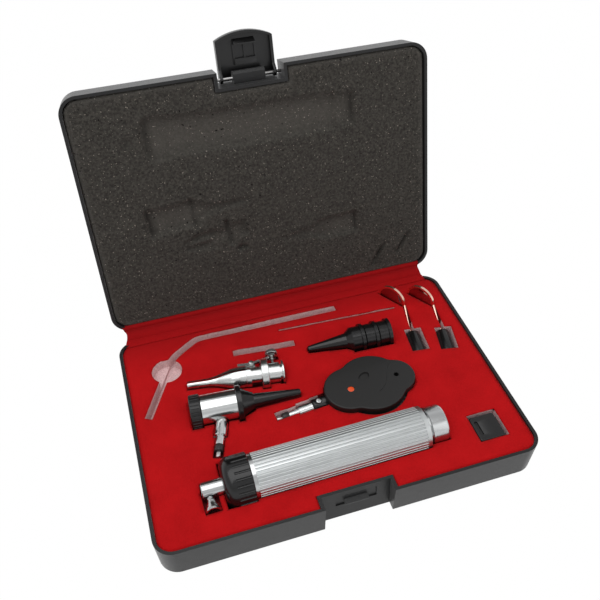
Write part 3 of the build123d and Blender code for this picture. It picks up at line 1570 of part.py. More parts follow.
# ---------------------------------------------------------------- throat mirrors
mirror_parts = []
for number, (disc, disc_turn, sleeve, sleeve_turn) in enumerate(mirror_sets, start=1):
    disc_frame = lying(disc, disc_turn, mirror_height)
    sleeve_frame = lying(sleeve, sleeve_turn, sleeve_height)
    face = Plane(origin=disc_frame.origin, x_dir=disc_frame.x_dir, z_dir=-disc_frame.y_dir)
    route = wire_route(disc, disc_turn, sleeve, sleeve_turn)
    wire_end = sleeve_frame.from_local_coords(Vector(-sleeve_length / 2 + wire_grip, 0, 0))
    with BuildPart() as frame_piece:
        with BuildSketch(face.offset(-mirror_frame_thick / 2)):
            Circle(mirror_radius)
        extrude(amount=mirror_frame_thick)
        with BuildSketch(face.offset(mirror_frame_thick / 2 - mirror_glass_thick)):
            Circle(mirror_radius - mirror_glass_inset)
        extrude(amount=mirror_glass_thick, mode=Mode.SUBTRACT)
        with BuildLine():
            wire = FilletPolyline(*route[:2], tuple(wire_end), radius=2)
        with BuildSketch(Plane(origin=wire @ 0, z_dir=wire % 0)):
            Circle(stem_wire_radius)
        sweep(path=wire)
    frame_piece.part.label = "mirror_frame_" + str(number)
    with BuildPart() as glass:
        with BuildSketch(face.offset(mirror_frame_thick / 2 - mirror_glass_thick)):
            Circle(mirror_radius - mirror_glass_inset - seat_gap)
        extrude(amount=mirror_glass_thick - 0.1)
    glass.part.label = "mirror_glass_" + str(number)
    with BuildPart() as clip:
        add(turned(sleeve_frame, (
            (-sleeve_length / 2, stem_wire_radius + seat_gap),
            (-sleeve_length / 2, sleeve_radius - 0.5),
            (-sleeve_length / 2 + 0.5, sleeve_radius),
            (sleeve_length / 2 - 0.5, sleeve_radius),
            (sleeve_length / 2, sleeve_radius - 0.5),
            (sleeve_length / 2, sleeve_bore),
            (sleeve_length / 2 - sleeve_bore_depth, sleeve_bore),
            (sleeve_length / 2 - sleeve_bore_depth, stem_wire_radius + seat_gap),
        )))
    clip.part.label = "mirror_sleeve_" + str(number)
    mirror_parts += [frame_piece.part, glass.part, clip.part]
    print("mirror", number, len(frame_piece.solids()))

# ---------------------------------------------------------------- spare bulb box
def box_plane(height):
    return Plane(origin=(*bulb_box_place, height), x_dir=(1, 0, 0), z_dir=(0, 0, 1))


inner_size = [side - 2 * bulb_box_wall for side in bulb_box_size]
with BuildPart() as bulb_box:
    with BuildSketch(box_plane(bulb_box_bottom)):
        RectangleRounded(*bulb_box_size, 1.5)
    extrude(amount=bulb_box_split - bulb_box_bottom)
    with BuildSketch(box_plane(bulb_box_bottom + bulb_box_wall)):
        Rectangle(*inner_size)
    extrude(amount=bulb_box_split - bulb_box_bottom, mode=Mode.SUBTRACT)
bulb_box.part.label = "bulb_box"

with BuildPart() as bulb_lid:
    with BuildSketch(box_plane(bulb_box_split)):
        RectangleRounded(*bulb_box_size, 1.5)
    extrude(amount=bulb_box_top - bulb_box_split)
    fillet(bulb_lid.faces().sort_by(Axis.Z)[-1].edges(), radius=0.8)
    with BuildSketch(box_plane(bulb_box_split - lid_lip)):
        Rectangle(*[side - 2 * running_gap for side in inner_size])
    extrude(amount=lid_lip)
    with BuildSketch(box_plane(bulb_box_split - lid_lip)):
        Rectangle(*[side - 2 * bulb_box_wall for side in inner_size])
    extrude(amount=bulb_box_top - bulb_box_split + lid_lip - 2 * bulb_box_wall, mode=Mode.SUBTRACT)
    with BuildSketch(box_plane(bulb_box_top - bulb_box_wall)):
        with Locations((bulb_box_groove_place, 0)):
            SlotOverall(bulb_box_groove[1], bulb_box_groove[0], rotation=90)
    extrude(amount=bulb_box_wall + 1, mode=Mode.SUBTRACT)
bulb_lid.part.label = "bulb_lid"

bulb_frame = lying(bulb_box_place, 0, bulb_box_bottom + bulb_box_wall + bulb_radius)
with BuildPart() as spare_bulb:
    add(turned(bulb_frame, (
        (-bulb_length / 2, 0),
        (-bulb_length / 2, bulb_radius - 0.8),
        (-bulb_length / 2 + 2, bulb_radius - 0.8),
        (-bulb_length / 2 + 2, bulb_radius),
        (0, bulb_radius),
        (0, bulb_radius - 0.4),
        (bulb_length / 2 - 1.4, bulb_radius - 0.6),
        (bulb_length / 2, 0.8),
        (bulb_length / 2, 0),
    )))
spare_bulb.part.label = "spare_bulb"

# ---------------------------------------------------------------- files
pieces = [
    base_shell, lid_shell, hinge_pins, latch_pin, latch_flap, tray_foam, tray_felt, lid_foam, hinge_strip,
    handle_tube, handle_neck, contact_bush, contact_pin, rheostat_track, rheostat_collar, handle_cap, cap_spring,
    clamp_screw, oto_barrel, speculum_holder, oto_stem, oto_lamp, oto_insulator, oto_contact, eyepiece_ring,
    magnifier_lens, ear_speculum, nasal_body, nasal_collar, nasal_blade_fixed, nasal_rivet, nasal_blade,
    nasal_screw, oph_back, oph_front, dial_window, wheel_pin, lens_wheel, wheel_lenses, oph_lamp, oph_neck,
    neck_screw, oph_stem, oph_insulator, oph_contact, bulb_box, bulb_lid, spare_bulb,
]
for solid in [piece.part for piece in pieces] + cells + spares + mirror_parts:
    export_step(solid, "parts/" + solid.label + ".step")
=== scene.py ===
import math

import bmesh
import bpy
from mathutils import Matrix, Vector, noise
from mathutils.bvhtree import BVHTree


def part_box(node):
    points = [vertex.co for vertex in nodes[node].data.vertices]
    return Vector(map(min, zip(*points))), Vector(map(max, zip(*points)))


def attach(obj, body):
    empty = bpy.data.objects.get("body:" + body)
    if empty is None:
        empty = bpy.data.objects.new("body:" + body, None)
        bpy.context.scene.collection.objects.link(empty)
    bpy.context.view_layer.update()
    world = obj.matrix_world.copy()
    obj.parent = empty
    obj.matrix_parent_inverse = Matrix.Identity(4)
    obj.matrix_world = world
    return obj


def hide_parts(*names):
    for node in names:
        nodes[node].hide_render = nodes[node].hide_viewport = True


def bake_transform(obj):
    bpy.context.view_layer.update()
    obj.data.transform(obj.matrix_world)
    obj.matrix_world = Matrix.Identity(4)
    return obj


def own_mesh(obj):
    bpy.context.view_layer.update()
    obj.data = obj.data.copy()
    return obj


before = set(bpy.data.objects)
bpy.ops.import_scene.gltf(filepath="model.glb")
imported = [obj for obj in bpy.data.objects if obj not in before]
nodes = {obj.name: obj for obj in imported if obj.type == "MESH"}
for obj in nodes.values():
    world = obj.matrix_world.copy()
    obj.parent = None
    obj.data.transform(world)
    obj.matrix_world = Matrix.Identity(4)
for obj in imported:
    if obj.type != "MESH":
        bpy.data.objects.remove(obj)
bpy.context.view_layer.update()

mm = 0.001

case = {
    "hinge": (88.5, 22.7),          # y and z of the hinge line, in millimetres
    "open": math.radians(104.4),    # how far the lid stands open
}


def lidPoint(x, y, z):
    # where a point of the shut lid is when the lid stands open
    hingeY, hingeZ = case["hinge"]
    c, s = math.cos(case["open"]), math.sin(case["open"])
    dy, dz = y - hingeY, z - hingeZ
    return Vector((x, hingeY + dy * c + dz * s, hingeZ - dy * s + dz * c)) * mm


lidUp = Vector((0, math.sin(case["open"]), math.cos(case["open"])))


class Link:
    # one socket of a node tree, with arithmetic
    def __init__(self, paint, socket):
        self.paint = paint
        self.socket = socket

    def math(self, operation, *terms):
        return self.paint.node("Math", {"operation": operation}, dict(enumerate(terms)))

    def __add__(self, other):
        return self.math("ADD", self, other)

    def __radd__(self, other):
        return self.math("ADD", other, self)

    def __sub__(self, other):
        return self.math("SUBTRACT", self, other)

    def __rsub__(self, other):
        return self.math("SUBTRACT", other, self)

    def __mul__(self, other):
        return self.math("MULTIPLY", self, other)

    def __rmul__(self, other):
        return self.math("MULTIPLY", other, self)

    def spread(self, low, high):
        # 0 at low and 1 at high, held at both ends
        return self.paint.node(
            "MapRange",
            {"clamp": True},
            {"Value": self, "From Min": low, "From Max": high},
        )


class Paint:
    # the nodes of a material, or of the world when that is handed in
    def __init__(self, name, owner=None, place="Object"):
        self.material = owner or bpy.data.materials.new(name)
        self.material.use_nodes = True
        self.tree = self.material.node_tree
        self.tree.nodes.clear()
        self.place = self.node("TexCoord", out=place)

    def node(self, kind, settings=None, inputs=None, out=0):
        made = self.tree.nodes.new("ShaderNode" + kind)
        for key, value in (settings or {}).items():
            if key == "stops":
                self.setStops(made.color_ramp.elements, value)
            else:
                setattr(made, key, value)
        for key, value in (inputs or {}).items():
            if isinstance(value, Link):
                self.tree.links.new(value.socket, made.inputs[key])
            else:
                made.inputs[key].default_value = value
        return Link(self, made.outputs[out]) if len(made.outputs) else made

    def setStops(self, points, stops):
        while len(points) < len(stops):
            points.new(0.5)
        for point, (position, colour) in zip(points, stops):
            point.position = position
            point.color = colour

    def noise(self, size, detail=2.0, roughness=0.5):
        # soft noise with features about size metres across, 0 to 1
        inputs = {"Vector": self.place, "Scale": 1 / size, "Detail": detail, "Roughness": roughness}
        return self.node("TexNoise", {"noise_dimensions": "3D"}, inputs)

    def cells(self, size):
        # distance to the nearest of points strewn about size metres apart
        inputs = {"Vector": self.place, "Scale": 1 / size, "Randomness": 1.0}
        return self.node("TexVoronoi", {"feature": "F1"}, inputs)

    def drawn(self, name):
        # a value that the piece's mesh carries
        return self.node("Attribute", {"attribute_name": name}, out="Fac")

    def mixed(self, share, first, second):
        inputs = {"Factor": share, 6: first, 7: second}
        return self.node("Mix", {"data_type": "RGBA"}, inputs, out=2)

    def bump(self, height, distance, strength):
        inputs = {"Height": height, "Distance": distance, "Strength": strength}
        return self.node("Bump", {}, inputs)

    def edgeWear(self, size):
        # 1 on sharp outside edges, 0 on flats
        soft = self.node("Bevel", {"samples": 4}, {"Radius": size})
        flat = self.node("NewGeometry", out="Normal")
        along = self.node("VectorMath", {"operation": "DOT_PRODUCT"}, {0: soft, 1: flat}, out="Value")
        return (1 - along).spread(0.02, 0.3)

    def shade(self, **values):
        inputs = {key.replace("_", " "): value for key, value in values.items()}
        surface = self.node("BsdfPrincipled", {}, inputs)
        self.node("OutputMaterial", {}, {"Surface": surface})
        return self

    def on(self, *pieces):
        for piece in pieces:
            piece.data.materials.clear()
            piece.data.materials.append(self.material)


shellLook = {
    "deep": (0.006, 0.0061, 0.0064, 1),
    "light": (0.0105, 0.0106, 0.011, 1),
    "rubbed": (0.04, 0.04, 0.04, 1),
    "grain": 0.75 * mm,
    "relief": 0.09 * mm,
    "rough": 0.3,
}


def mouldedShell():
    # spark-grained black moulding, rubbed paler on its corners
    paint = Paint("mouldedShell")
    grain = paint.cells(shellLook["grain"]).spread(0.0, 0.75)
    fine = paint.noise(0.3 * mm, 3)
    broad = paint.noise(30 * mm, 3)
    worn = paint.edgeWear(0.8 * mm)
    scuff = paint.noise(4 * mm, 5, 0.65).spread(0.52, 0.72)
    tone = paint.mixed(broad.spread(0.3, 0.7), shellLook["deep"], shellLook["light"])
    tone = paint.mixed(worn * scuff * 0.5, tone, shellLook["rubbed"])
    return paint.shade(
        Base_Color=tone,
        Roughness=shellLook["rough"] + fine * 0.12 + scuff * 0.06,
        Specular_IOR_Level=0.34,
        Sheen_Weight=0.22,
        Sheen_Roughness=0.3,
        Normal=paint.bump(grain + fine * 0.3, shellLook["relief"], 0.6),
    )


dustTone = (0.09, 0.085, 0.08, 1)


def glossPlastic(name, base, wornTone, roughness):
    paint = Paint(name)
    ripple = paint.noise(2 * mm, 2)
    dust = paint.noise(0.6 * mm, 5, 0.7).spread(0.58, 0.8)
    worn = paint.edgeWear(0.4 * mm)
    tone = paint.mixed(worn * 0.5, base, wornTone)
    tone = paint.mixed(dust * 0.15, tone, dustTone)
    return paint.shade(
        Base_Color=tone,
        Roughness=roughness + ripple * 0.06 + dust * 0.18,
        Specular_IOR_Level=0.36,
        Coat_Weight=0.12,
        Coat_Roughness=0.1,
        Normal=paint.bump(ripple + dust * 0.2, 0.03 * mm, 0.4),
    )


feltLook = {
    "deep": (0.36, 0.0024, 0.0038, 1),
    "bright": (0.49, 0.0045, 0.0065, 1),
    "tuft": (0.5, 0.006, 0.008, 1),
    # colour of the painted shade under the open lid
    "lidShade": (0.13, 0.002, 0.003, 1),
    "lidShadeFrom": 60 * mm,        # how far back the painted shade of the open lid begins, and where it is full
    "lidShadeTo": 94 * mm,
    "relief": 0.35 * mm,
    "sheen": (1.0, 0.16, 0.14, 1),
}


def redFelt():
    paint = Paint("redFelt")
    pile = paint.noise(0.22 * mm, 4, 0.7)
    tufts = paint.noise(1.1 * mm, 3, 0.6)
    brushed = paint.noise(17 * mm, 4, 0.55)
    tone = paint.mixed(brushed.spread(0.25, 0.75), feltLook["deep"], feltLook["bright"])
    tone = paint.mixed(tufts.spread(0.3, 0.72) * 0.5, tone, feltLook["tuft"])
    # darker towards the hinge: painted shade that the open lid casts on the rear of the felt and on
    # the hinge strip
    depth = paint.node("SeparateXYZ", {}, {"Vector": paint.place}, out="Y")
    lidShade = (depth + brushed * 0.008).spread(feltLook["lidShadeFrom"], feltLook["lidShadeTo"])
    tone = paint.mixed(lidShade * 0.55, tone, feltLook["lidShade"])
    return paint.shade(
        Base_Color=tone,
        Roughness=0.86 + pile * 0.12,
        Specular_IOR_Level=0.12,
        Sheen_Weight=0.1,
        Sheen_Roughness=0.45,
        Sheen_Tint=feltLook["sheen"],
        Normal=paint.bump(pile * 0.5 + tufts * 0.7, feltLook["relief"], 0.55),
    )


foamLook = {
    # the colours of its pores, their walls and its patches
    "clean": ((0.45, 0.25, 0.255, 1), (0.86, 0.63, 0.63, 1), (0.76, 0.52, 0.52, 1)),
    # dark red walls of the fitted pockets: painted shade
    "pocketShade": ((0.07, 0.004, 0.005, 1), (0.2, 0.02, 0.022, 1), (0.14, 0.006, 0.008, 1)),
    "cell": 0.65 * mm,
    "relief": 0.35 * mm,
}


def openFoam(name, colours, patches, patchShare, specular):
    pore, wall, patch = colours
    paint = Paint(name)
    pores = paint.cells(foamLook["cell"]).spread(0.1, 0.62)
    fine = paint.noise(0.3 * mm, 4, 0.65)
    tone = paint.mixed(pores, pore, wall)
    tone = paint.mixed(paint.noise(*patches).spread(0.3, 0.7) * patchShare, tone, patch)
    return paint.shade(
        Base_Color=tone,
        Roughness=0.92 + fine * 0.06,
        Specular_IOR_Level=specular,
        Normal=paint.bump(pores + fine * 0.5, foamLook["relief"], 0.7),
    )


lidFoamLook = {
    "hollow": (0.013, 0.0121, 0.0106, 1),
    "grain": (0.071, 0.0656, 0.0573, 1),
    "wall": (0.07, 0.065, 0.057, 1),
    "blotch": (0.058, 0.054, 0.0475, 1),
    # paler band along the pad's rounded edge: painted highlight
    "rim": (0.12, 0.113, 0.102, 1),
    # paler pressed-in marks: painted highlight where their floors face the light
    "pressed": (0.12, 0.111, 0.098, 1),
    # dark creases at the steep ends of the marks: painted shade
    "crease": (0.008, 0.0074, 0.0065, 1),
    "speck": (0.38, 0.34, 0.29, 1),
    "pit": (0.004, 0.0035, 0.003, 1),
    "relief": 0.5 * mm,
}


def darkFoam():
    paint = Paint("darkFoam")
    pores = paint.cells(0.62 * mm).spread(0.05, 0.6)
    fine = paint.noise(0.35 * mm, 4, 0.7)
    grain = paint.noise(1.6 * mm, 2, 0.6).spread(0.36, 0.66)
    blotch = paint.noise(13 * mm, 4, 0.6).spread(0.35, 0.72)
    speck = paint.noise(1.05 * mm, 1).spread(0.7, 0.75)
    pit = paint.noise(2.1 * mm, 1).spread(0.73, 0.77)
    rim = paint.drawn("rim")
    tone = paint.mixed(grain, lidFoamLook["hollow"], lidFoamLook["grain"])
    # over the foam's grain: painted highlights along the edge and in the marks, painted shade in the
    # creases
    layers = (
        ("wall", pores * 0.35), ("blotch", blotch * 0.35), ("rim", rim * rim * 0.6),
        ("pressed", paint.drawn("pressed") * 0.48), ("crease", paint.drawn("crease") * 0.75),
        ("speck", speck * 0.8), ("pit", pit),
    )
    for colour, share in layers:
        tone = paint.mixed(share, tone, lidFoamLook[colour])
    return paint.shade(
        Base_Color=tone,
        Roughness=0.9 + fine * 0.08,
        Specular_IOR_Level=0.2,
        Normal=paint.bump(pores * 0.7 + grain * 0.8 + fine * 0.4 - pit, lidFoamLook["relief"], 0.85),
    )


def plated(name, base, roughness, smear=0.1):
    # metal with a thin film of handling and hairline scratches
    paint = Paint(name)
    film = paint.noise(6 * mm, 4, 0.6)
    scratch = paint.noise(0.5 * mm, 5, 0.75).spread(0.55, 0.85)
    dulled = tuple(part * 0.8 for part in base[:3]) + (1,)
    return paint.shade(
        Base_Color=paint.mixed(film.spread(0.3, 0.8) * 0.35, base, dulled),
        Metallic=1.0,
        Roughness=roughness + film * smear + scratch * 0.08,
        Normal=paint.bump(scratch, 0.01 * mm, 0.35),
    )


def glassy(name, base, roughness, ior=1.52):
    paint = Paint(name)
    smear = paint.noise(2 * mm, 3)
    return paint.shade(
        Base_Color=base,
        Transmission_Weight=1.0,
        IOR=ior,
        Roughness=roughness + smear * 0.03,
        Normal=paint.bump(smear, 0.004 * mm, 0.3),
    )


shell = mouldedShell()
blackGloss = glossPlastic("blackGloss", (0.005, 0.005, 0.0053, 1), (0.03, 0.03, 0.03, 1), 0.2)
blackSatin = glossPlastic("blackSatin", (0.0045, 0.0045, 0.0047, 1), (0.03, 0.03, 0.03, 1), 0.32)
mattFace = glossPlastic("mattFace", (0.0085, 0.0082, 0.0078, 1), (0.04, 0.04, 0.04, 1), 0.5)
felt = redFelt()
foam = openFoam("cutFoam", foamLook["clean"], (12 * mm, 3), 0.4, 0.15)
# the walls of the fitted pockets, painted dark red: painted shade in the tight pockets, reddened with
# the felt's light
pocketFoam = openFoam("shadedFoam", foamLook["pocketShade"], (3 * mm, 4, 0.6), 0.6, 0.12)
lidFoamPaint = darkFoam()
chrome = plated("chrome", (0.64, 0.655, 0.65, 1), 0.12)
dullChrome = plated("dullChrome", (0.52, 0.53, 0.53, 1), 0.15)
toolSteel = plated("toolSteel", (0.62, 0.635, 0.625, 1), 0.2)
satinChrome = plated("satinChrome", (0.54, 0.56, 0.56, 1), 0.3, 0.04)
brushed = plated("brushedSteel", (0.56, 0.55, 0.54, 1), 0.24)
steel = plated("pinSteel", (0.36, 0.355, 0.35, 1), 0.3)
copper = plated("copperRim", (0.92, 0.62, 0.5, 1), 0.18)
brass = plated("brass", (0.67, 0.46, 0.17, 1), 0.22)
insulator = glossPlastic("insulator", (0.02, 0.018, 0.017, 1), (0.06, 0.05, 0.05, 1), 0.38)
fibre = glossPlastic("fibre", (0.2, 0.09, 0.04, 1), (0.3, 0.2, 0.12, 1), 0.55)
cellJacket = glossPlastic("cellJacket", (0.035, 0.05, 0.085, 1), (0.2, 0.2, 0.2, 1), 0.3)
clearGlass = glassy("clearGlass", (0.95, 0.97, 0.97, 1), 0.02)
lampGlass = glassy("lampGlass", (0.97, 0.96, 0.93, 1), 0.04)
amber = glossPlastic("amber", (0.75, 0.085, 0.02, 1), (0.8, 0.2, 0.06, 1), 0.16)
mirrorGlass = plated("mirrorGlass", (0.42, 0.4, 0.4, 1), 0.05, 0.02)
print("materials made")

finishes = {
    "base_shell": shell,
    "lid_shell": shell,
    "latch_flap": blackSatin,
    "latch_pin": steel,
    "hinge_pins": steel,
    "handle_tube": satinChrome,
    "handle_neck": dullChrome,
    "handle_cap": dullChrome,
    "contact_bush": fibre,
    "contact_pin": brass,
    "rheostat_track": fibre,
    "rheostat_collar": blackGloss,
    "clamp_screw": dullChrome,
    "cap_spring": brushed,
    "battery_1": cellJacket,
    "battery_2": cellJacket,
    "oto_barrel": chrome,
    "speculum_holder": blackGloss,
    "oto_stem": chrome,
    "oto_lamp": lampGlass,
    "oto_insulator": insulator,
    "oto_contact": brushed,
    "eyepiece_ring": blackSatin,
    "magnifier_lens": clearGlass,
    "ear_speculum": blackGloss,
    "nasal_body": toolSteel,
    "nasal_collar": toolSteel,
    "nasal_blade_fixed": toolSteel,
    "nasal_rivet": toolSteel,
    "nasal_blade": toolSteel,
    "nasal_screw": toolSteel,
    "oph_back": mattFace,
    "oph_front": mattFace,
    "dial_window": amber,
    "wheel_pin": brushed,
    "oph_lamp": lampGlass,
    "oph_neck": blackGloss,
    "neck_screw": chrome,
    "oph_stem": chrome,
    "oph_insulator": insulator,
    "oph_contact": brushed,
    "lens_wheel": blackSatin,
    "wheel_lenses": clearGlass,
    "spare_speculum_1": blackGloss,
    "spare_speculum_2": blackGloss,
    "spare_speculum_3": blackGloss,
    "mirror_frame_1": copper,
    "mirror_glass_1": mirrorGlass,
    "mirror_sleeve_1": blackGloss,
    "mirror_frame_2": copper,
    "mirror_glass_2": mirrorGlass,
    "mirror_sleeve_2": blackGloss,
    "bulb_box": blackSatin,
    "spare_bulb": lampGlass,
    "bulb_lid": blackSatin,
}
softNodes = ("tray_foam", "tray_felt", "lid_foam", "hinge_strip")


edges = {
    "weld": 1e-6,
    "crisp": math.radians(28),      # edges sharper than this stay crisp
    "flat": math.radians(0.6),      # facets closer than this are one flat
    "broken": math.radians(38),     # edges sharper than this are broken with a small bevel
    "bevel": 0.12 * mm,
    "flapBevel": 0.22 * mm,
}


def smoothWelded(piece):
    piece.modifiers.new("weld", "WELD").merge_threshold = edges["weld"]
    for face in piece.data.polygons:
        face.use_smooth = True


def crispEdges(piece):
    # flats stay flat beside edges that are already rounded
    smoothWelded(piece)
    piece.modifiers.new("split", "EDGE_SPLIT").split_angle = edges["crisp"]
    normals = piece.modifiers.new("normals", "WEIGHTED_NORMAL")
    normals.keep_sharp = True
    normals.weight = 80


def breakEdges(piece, width):
    smoothWelded(piece)
    flats = piece.modifiers.new("flats", "DECIMATE")
    flats.decimate_type = "DISSOLVE"
    flats.angle_limit = edges["flat"]
    bevel = piece.modifiers.new("bevel", "BEVEL")
    bevel.width = width
    bevel.segments = 2
    bevel.limit_method = "ANGLE"
    bevel.angle_limit = edges["broken"]
    bevel.harden_normals = True


# pieces whose edges are rounded in their own shape
drawnRound = (
    "base_shell", "lid_shell", "oph_front", "oph_back", "handle_tube", "handle_neck", "handle_cap",
    "oto_barrel", "oto_stem", "oph_stem", "speculum_holder", "ear_speculum", "eyepiece_ring",
    "nasal_body", "nasal_collar", "nasal_blade_fixed", "nasal_blade", "nasal_screw",
    "rheostat_collar", "spare_speculum_1", "spare_speculum_2", "spare_speculum_3",
    "mirror_frame_1", "mirror_frame_2", "clamp_screw",
)
for name, piece in nodes.items():
    if name in softNodes:
        continue
    finishes[name].on(piece)
    if name in drawnRound:
        crispEdges(piece)
    else:
        breakEdges(piece, edges["flapBevel"] if name == "latch_flap" else edges["bevel"])
print("frame finished")


def placeMesh(mesh, paint):
    piece = bpy.data.objects.new(mesh.name, mesh)
    bpy.context.scene.collection.objects.link(piece)
    paint.on(piece)
    return piece


def newPiece(name, points, faces, paint):
    mesh = bpy.data.meshes.new(name)
    mesh.from_pydata([tuple(point) for point in points], [], faces)
    mesh.validate()
    for face in mesh.polygons:
        face.use_smooth = True
    return placeMesh(mesh, paint)


def bodyOf(name):
    # an editable copy of a node's mesh, without its seams
    body = bmesh.new()
    body.from_mesh(nodes[name].data)
    bmesh.ops.remove_doubles(body, verts=body.verts, dist=edges["weld"])
    return body


def sliced(body, box, steps):
    # cuts across each axis, about a step apart, so that the surface can be shaped
    low, high = box
    bmesh.ops.dissolve_limit(body, angle_limit=0.01, verts=body.verts, edges=body.edges)
    for axis, step in enumerate(steps):
        normal = Vector((0, 0, 0))
        normal[axis] = 1
        count = int((high[axis] - low[axis]) / step)
        for number in range(1, count + 1):
            at = Vector((0, 0, 0))
            at[axis] = low[axis] + number * (high[axis] - low[axis]) / (count + 1)
            geom = body.verts[:] + body.edges[:] + body.faces[:]
            bmesh.ops.bisect_plane(body, geom=geom, plane_co=at, plane_no=normal)


def meshOf(body, name):
    mesh = bpy.data.meshes.new(name)
    body.to_mesh(mesh)
    body.free()
    return mesh


def thicken(piece, thick, offset):
    solid = piece.modifiers.new("thick", "SOLIDIFY")
    solid.thickness = thick
    solid.offset = offset


sheet = {
    "thick": 0.7 * mm,
    "step": 3.0 * mm,
    "rollIn": 0.55 * mm,        # how far in from a cut edge the sheet begins to roll over
    "rollDown": 0.3 * mm,
    "wave": 0.12 * mm,          # height and length of its unevenness
    "waveLength": 16 * mm,
}


def feltSheet():
    # the red flocked sheet that covers the tray, cut out round every pocket
    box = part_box("tray_felt")
    under = box[1].z - 0.1 * mm
    body = bodyOf("tray_felt")
    body.normal_update()
    below = [f for f in body.faces if f.normal.z < 0.9 or f.calc_center_median().z < under]
    bmesh.ops.delete(body, geom=below, context="FACES")
    sliced(body, box, (sheet["step"], sheet["step"]))
    rim = {v for e in body.edges if e.is_boundary for v in e.verts}
    bmesh.ops.inset_region(body, faces=body.faces, thickness=sheet["rollIn"], use_even_offset=True)
    for v in body.verts:
        height = noise.noise(v.co / sheet["waveLength"]) * sheet["wave"]
        v.co.z += height - (sheet["rollDown"] if v in rim else 0)
    for f in body.faces:
        f.smooth = True
    piece = placeMesh(meshOf(body, "trayFelt"), felt)
    thicken(piece, sheet["thick"], -1)
    return piece, sum(face.area for face in piece.data.polygons)


trayFelt, feltArea = feltSheet()
print("felt cut", round(feltArea, 4))
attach(trayFelt, "base")
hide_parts("tray_felt")


# the slots whose cut walls keep the foam's own colour, without the painted pocket shade: middle lines,
# and how far the walls reach to either side
emptySlots = (
    ((37.4, 71.4), (-66.0, 72.9), (-84.8, 60.5), (-108.9, 13.6), 7.0),
    ((-90.8, 49.8), (-90.7, 49.8), 11.5),
    ((-44.2, 51.5), (-1.0, 47.6), 4.0),
    ((-8.0, 62.7), (79.0, 58.4), 1.6),
    ((82.9, 34.0), (80.9, 15.2), 6.6),
    ((104.0, 28.9), (100.4, 10.3), 6.6),
    ((-2.0, -6.6), (-34.0, -10.2), 5.6),
    ((94.6, -52.0), (94.6, -61.5), 11.8),
)


def inEmptySlot(x, y):
    for *line, reach in emptySlots:
        for (ax, ay), (bx, by) in zip(line, line[1:]):
            span = Vector((bx - ax, by - ay))
            along = max(0, min(1, Vector((x - ax, y - ay)).dot(span) / span.length_squared))
            if math.hypot(x - ax - span.x * along, y - ay - span.y * along) < reach:
                return True
    return False


pad = {
    "steps": (5.0 * mm, 5.0 * mm, 2.5 * mm),
    "rough": 0.12 * mm,         # how far the die left the walls uneven
    "roughLength": 4 * mm,
    "edge": 3 * mm,             # outer walls this close to the shell stay plain
}


def trayPad():
    # the cut block of foam under the felt, its walls a little uneven from the die
    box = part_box("tray_foam")
    far = box[1]
    body = bodyOf("tray_foam")
    sliced(body, box, pad["steps"])
    body.normal_update()
    for v in body.verts:
        side = Vector((v.normal.x, v.normal.y, 0))
        inside = abs(v.co.x) < far.x - pad["edge"] and abs(v.co.y) < far.y - pad["edge"]
        if inside and side.length > 0.3:
            v.co -= side.normalized() * (0.5 + noise.noise(v.co / pad["roughLength"])) * pad["rough"]
    mesh = meshOf(body, "trayFoam")
    piece = placeMesh(mesh, foam)
    mesh.materials.append(pocketFoam.material)
    for face in mesh.polygons:
        x, y, z = face.center / mm
        # walls outside the empty slots take the painted shade of the fitted pockets
        face.material_index = 0 if inEmptySlot(x, y) else 1
    return piece


trayFoam = trayPad()
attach(trayFoam, "base")
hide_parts("tray_foam")
print("tray lined")


lidPad = {
    "half": (117.75, 80.75),    # half width and half depth
    "corner": 9.75,
    "face": 25.4,               # heights of the face and the back in the shut lid
    "back": 40.75,
    "above": 60.0,              # a height over every instrument
    "step": 1.1,
    "round": 2.2,               # rounding of the face's edge
    "rim": 6.0,                 # width of the painted highlight along it
    "bump": (0.12, 9.0),        # height and length of the face's unevenness
    "full": 1.4,                # crease depth at which the painted shade is drawn at full strength
    "deepest": 3.3,             # mark that stays at most
    "slack": 1.6,               # press-in that leaves none
    "kept": 0.27,               # share of the rest that stays
    "crease": 0.3,              # more of it where an edge digs in
    "window": 5,                # grid steps over which an edge is told from a broad form
    "notch": (23.9, 71.1),      # half width of the latch recess, and how far the foam goes there
}
# what marks the lid's foam when the case is shut
pressedIn = (
    "handle_tube", "handle_neck", "handle_cap", "rheostat_collar", "clamp_screw", "oto_barrel",
    "speculum_holder", "eyepiece_ring", "ear_speculum", "nasal_body", "nasal_collar",
    "nasal_blade_fixed", "nasal_blade", "nasal_screw", "oph_front", "lens_wheel", "oph_neck",
    "spare_speculum_1", "spare_speculum_2", "spare_speculum_3", "mirror_frame_1", "mirror_frame_2",
    "wheel_pin",
)


def instrumentTree():
    # what stands up from the tray, as one tree to cast rays at
    points, faces = [], []
    for name in pressedIn:
        mesh = nodes[name].data
        start = len(points)
        points += [v.co.copy() for v in mesh.vertices]
        faces += [[start + i for i in face.vertices] for face in mesh.polygons]
    return BVHTree.FromPolygons(points, faces)


def padGrid():
    # the places of the face's points, by column and row
    halfX, halfY = lidPad["half"]
    countX = int(2 * halfX / lidPad["step"])
    countY = int(2 * halfY / lidPad["step"])
    return {
        (i, j): (-halfX + 2 * halfX * i / countX, -halfY + 2 * halfY * j / countY)
        for i in range(countX + 1)
        for j in range(countY + 1)
    }


def padInside(x, y):
    # how far inside the pad's outline a place is
    corner = lidPad["corner"]
    dx, dy = (abs(at) - half + corner for at, half in zip((x, y), lidPad["half"]))
    outline = corner - (math.hypot(dx, dy) if dx > 0 and dy > 0 else max(dx, dy))
    nx, ny = lidPad["notch"][0] - abs(x), -lidPad["notch"][1] - y
    if nx > 0 and ny > 0:
        return min(outline, -min(nx, ny))
    return min(outline, math.hypot(min(nx, 0), min(ny, 0)))


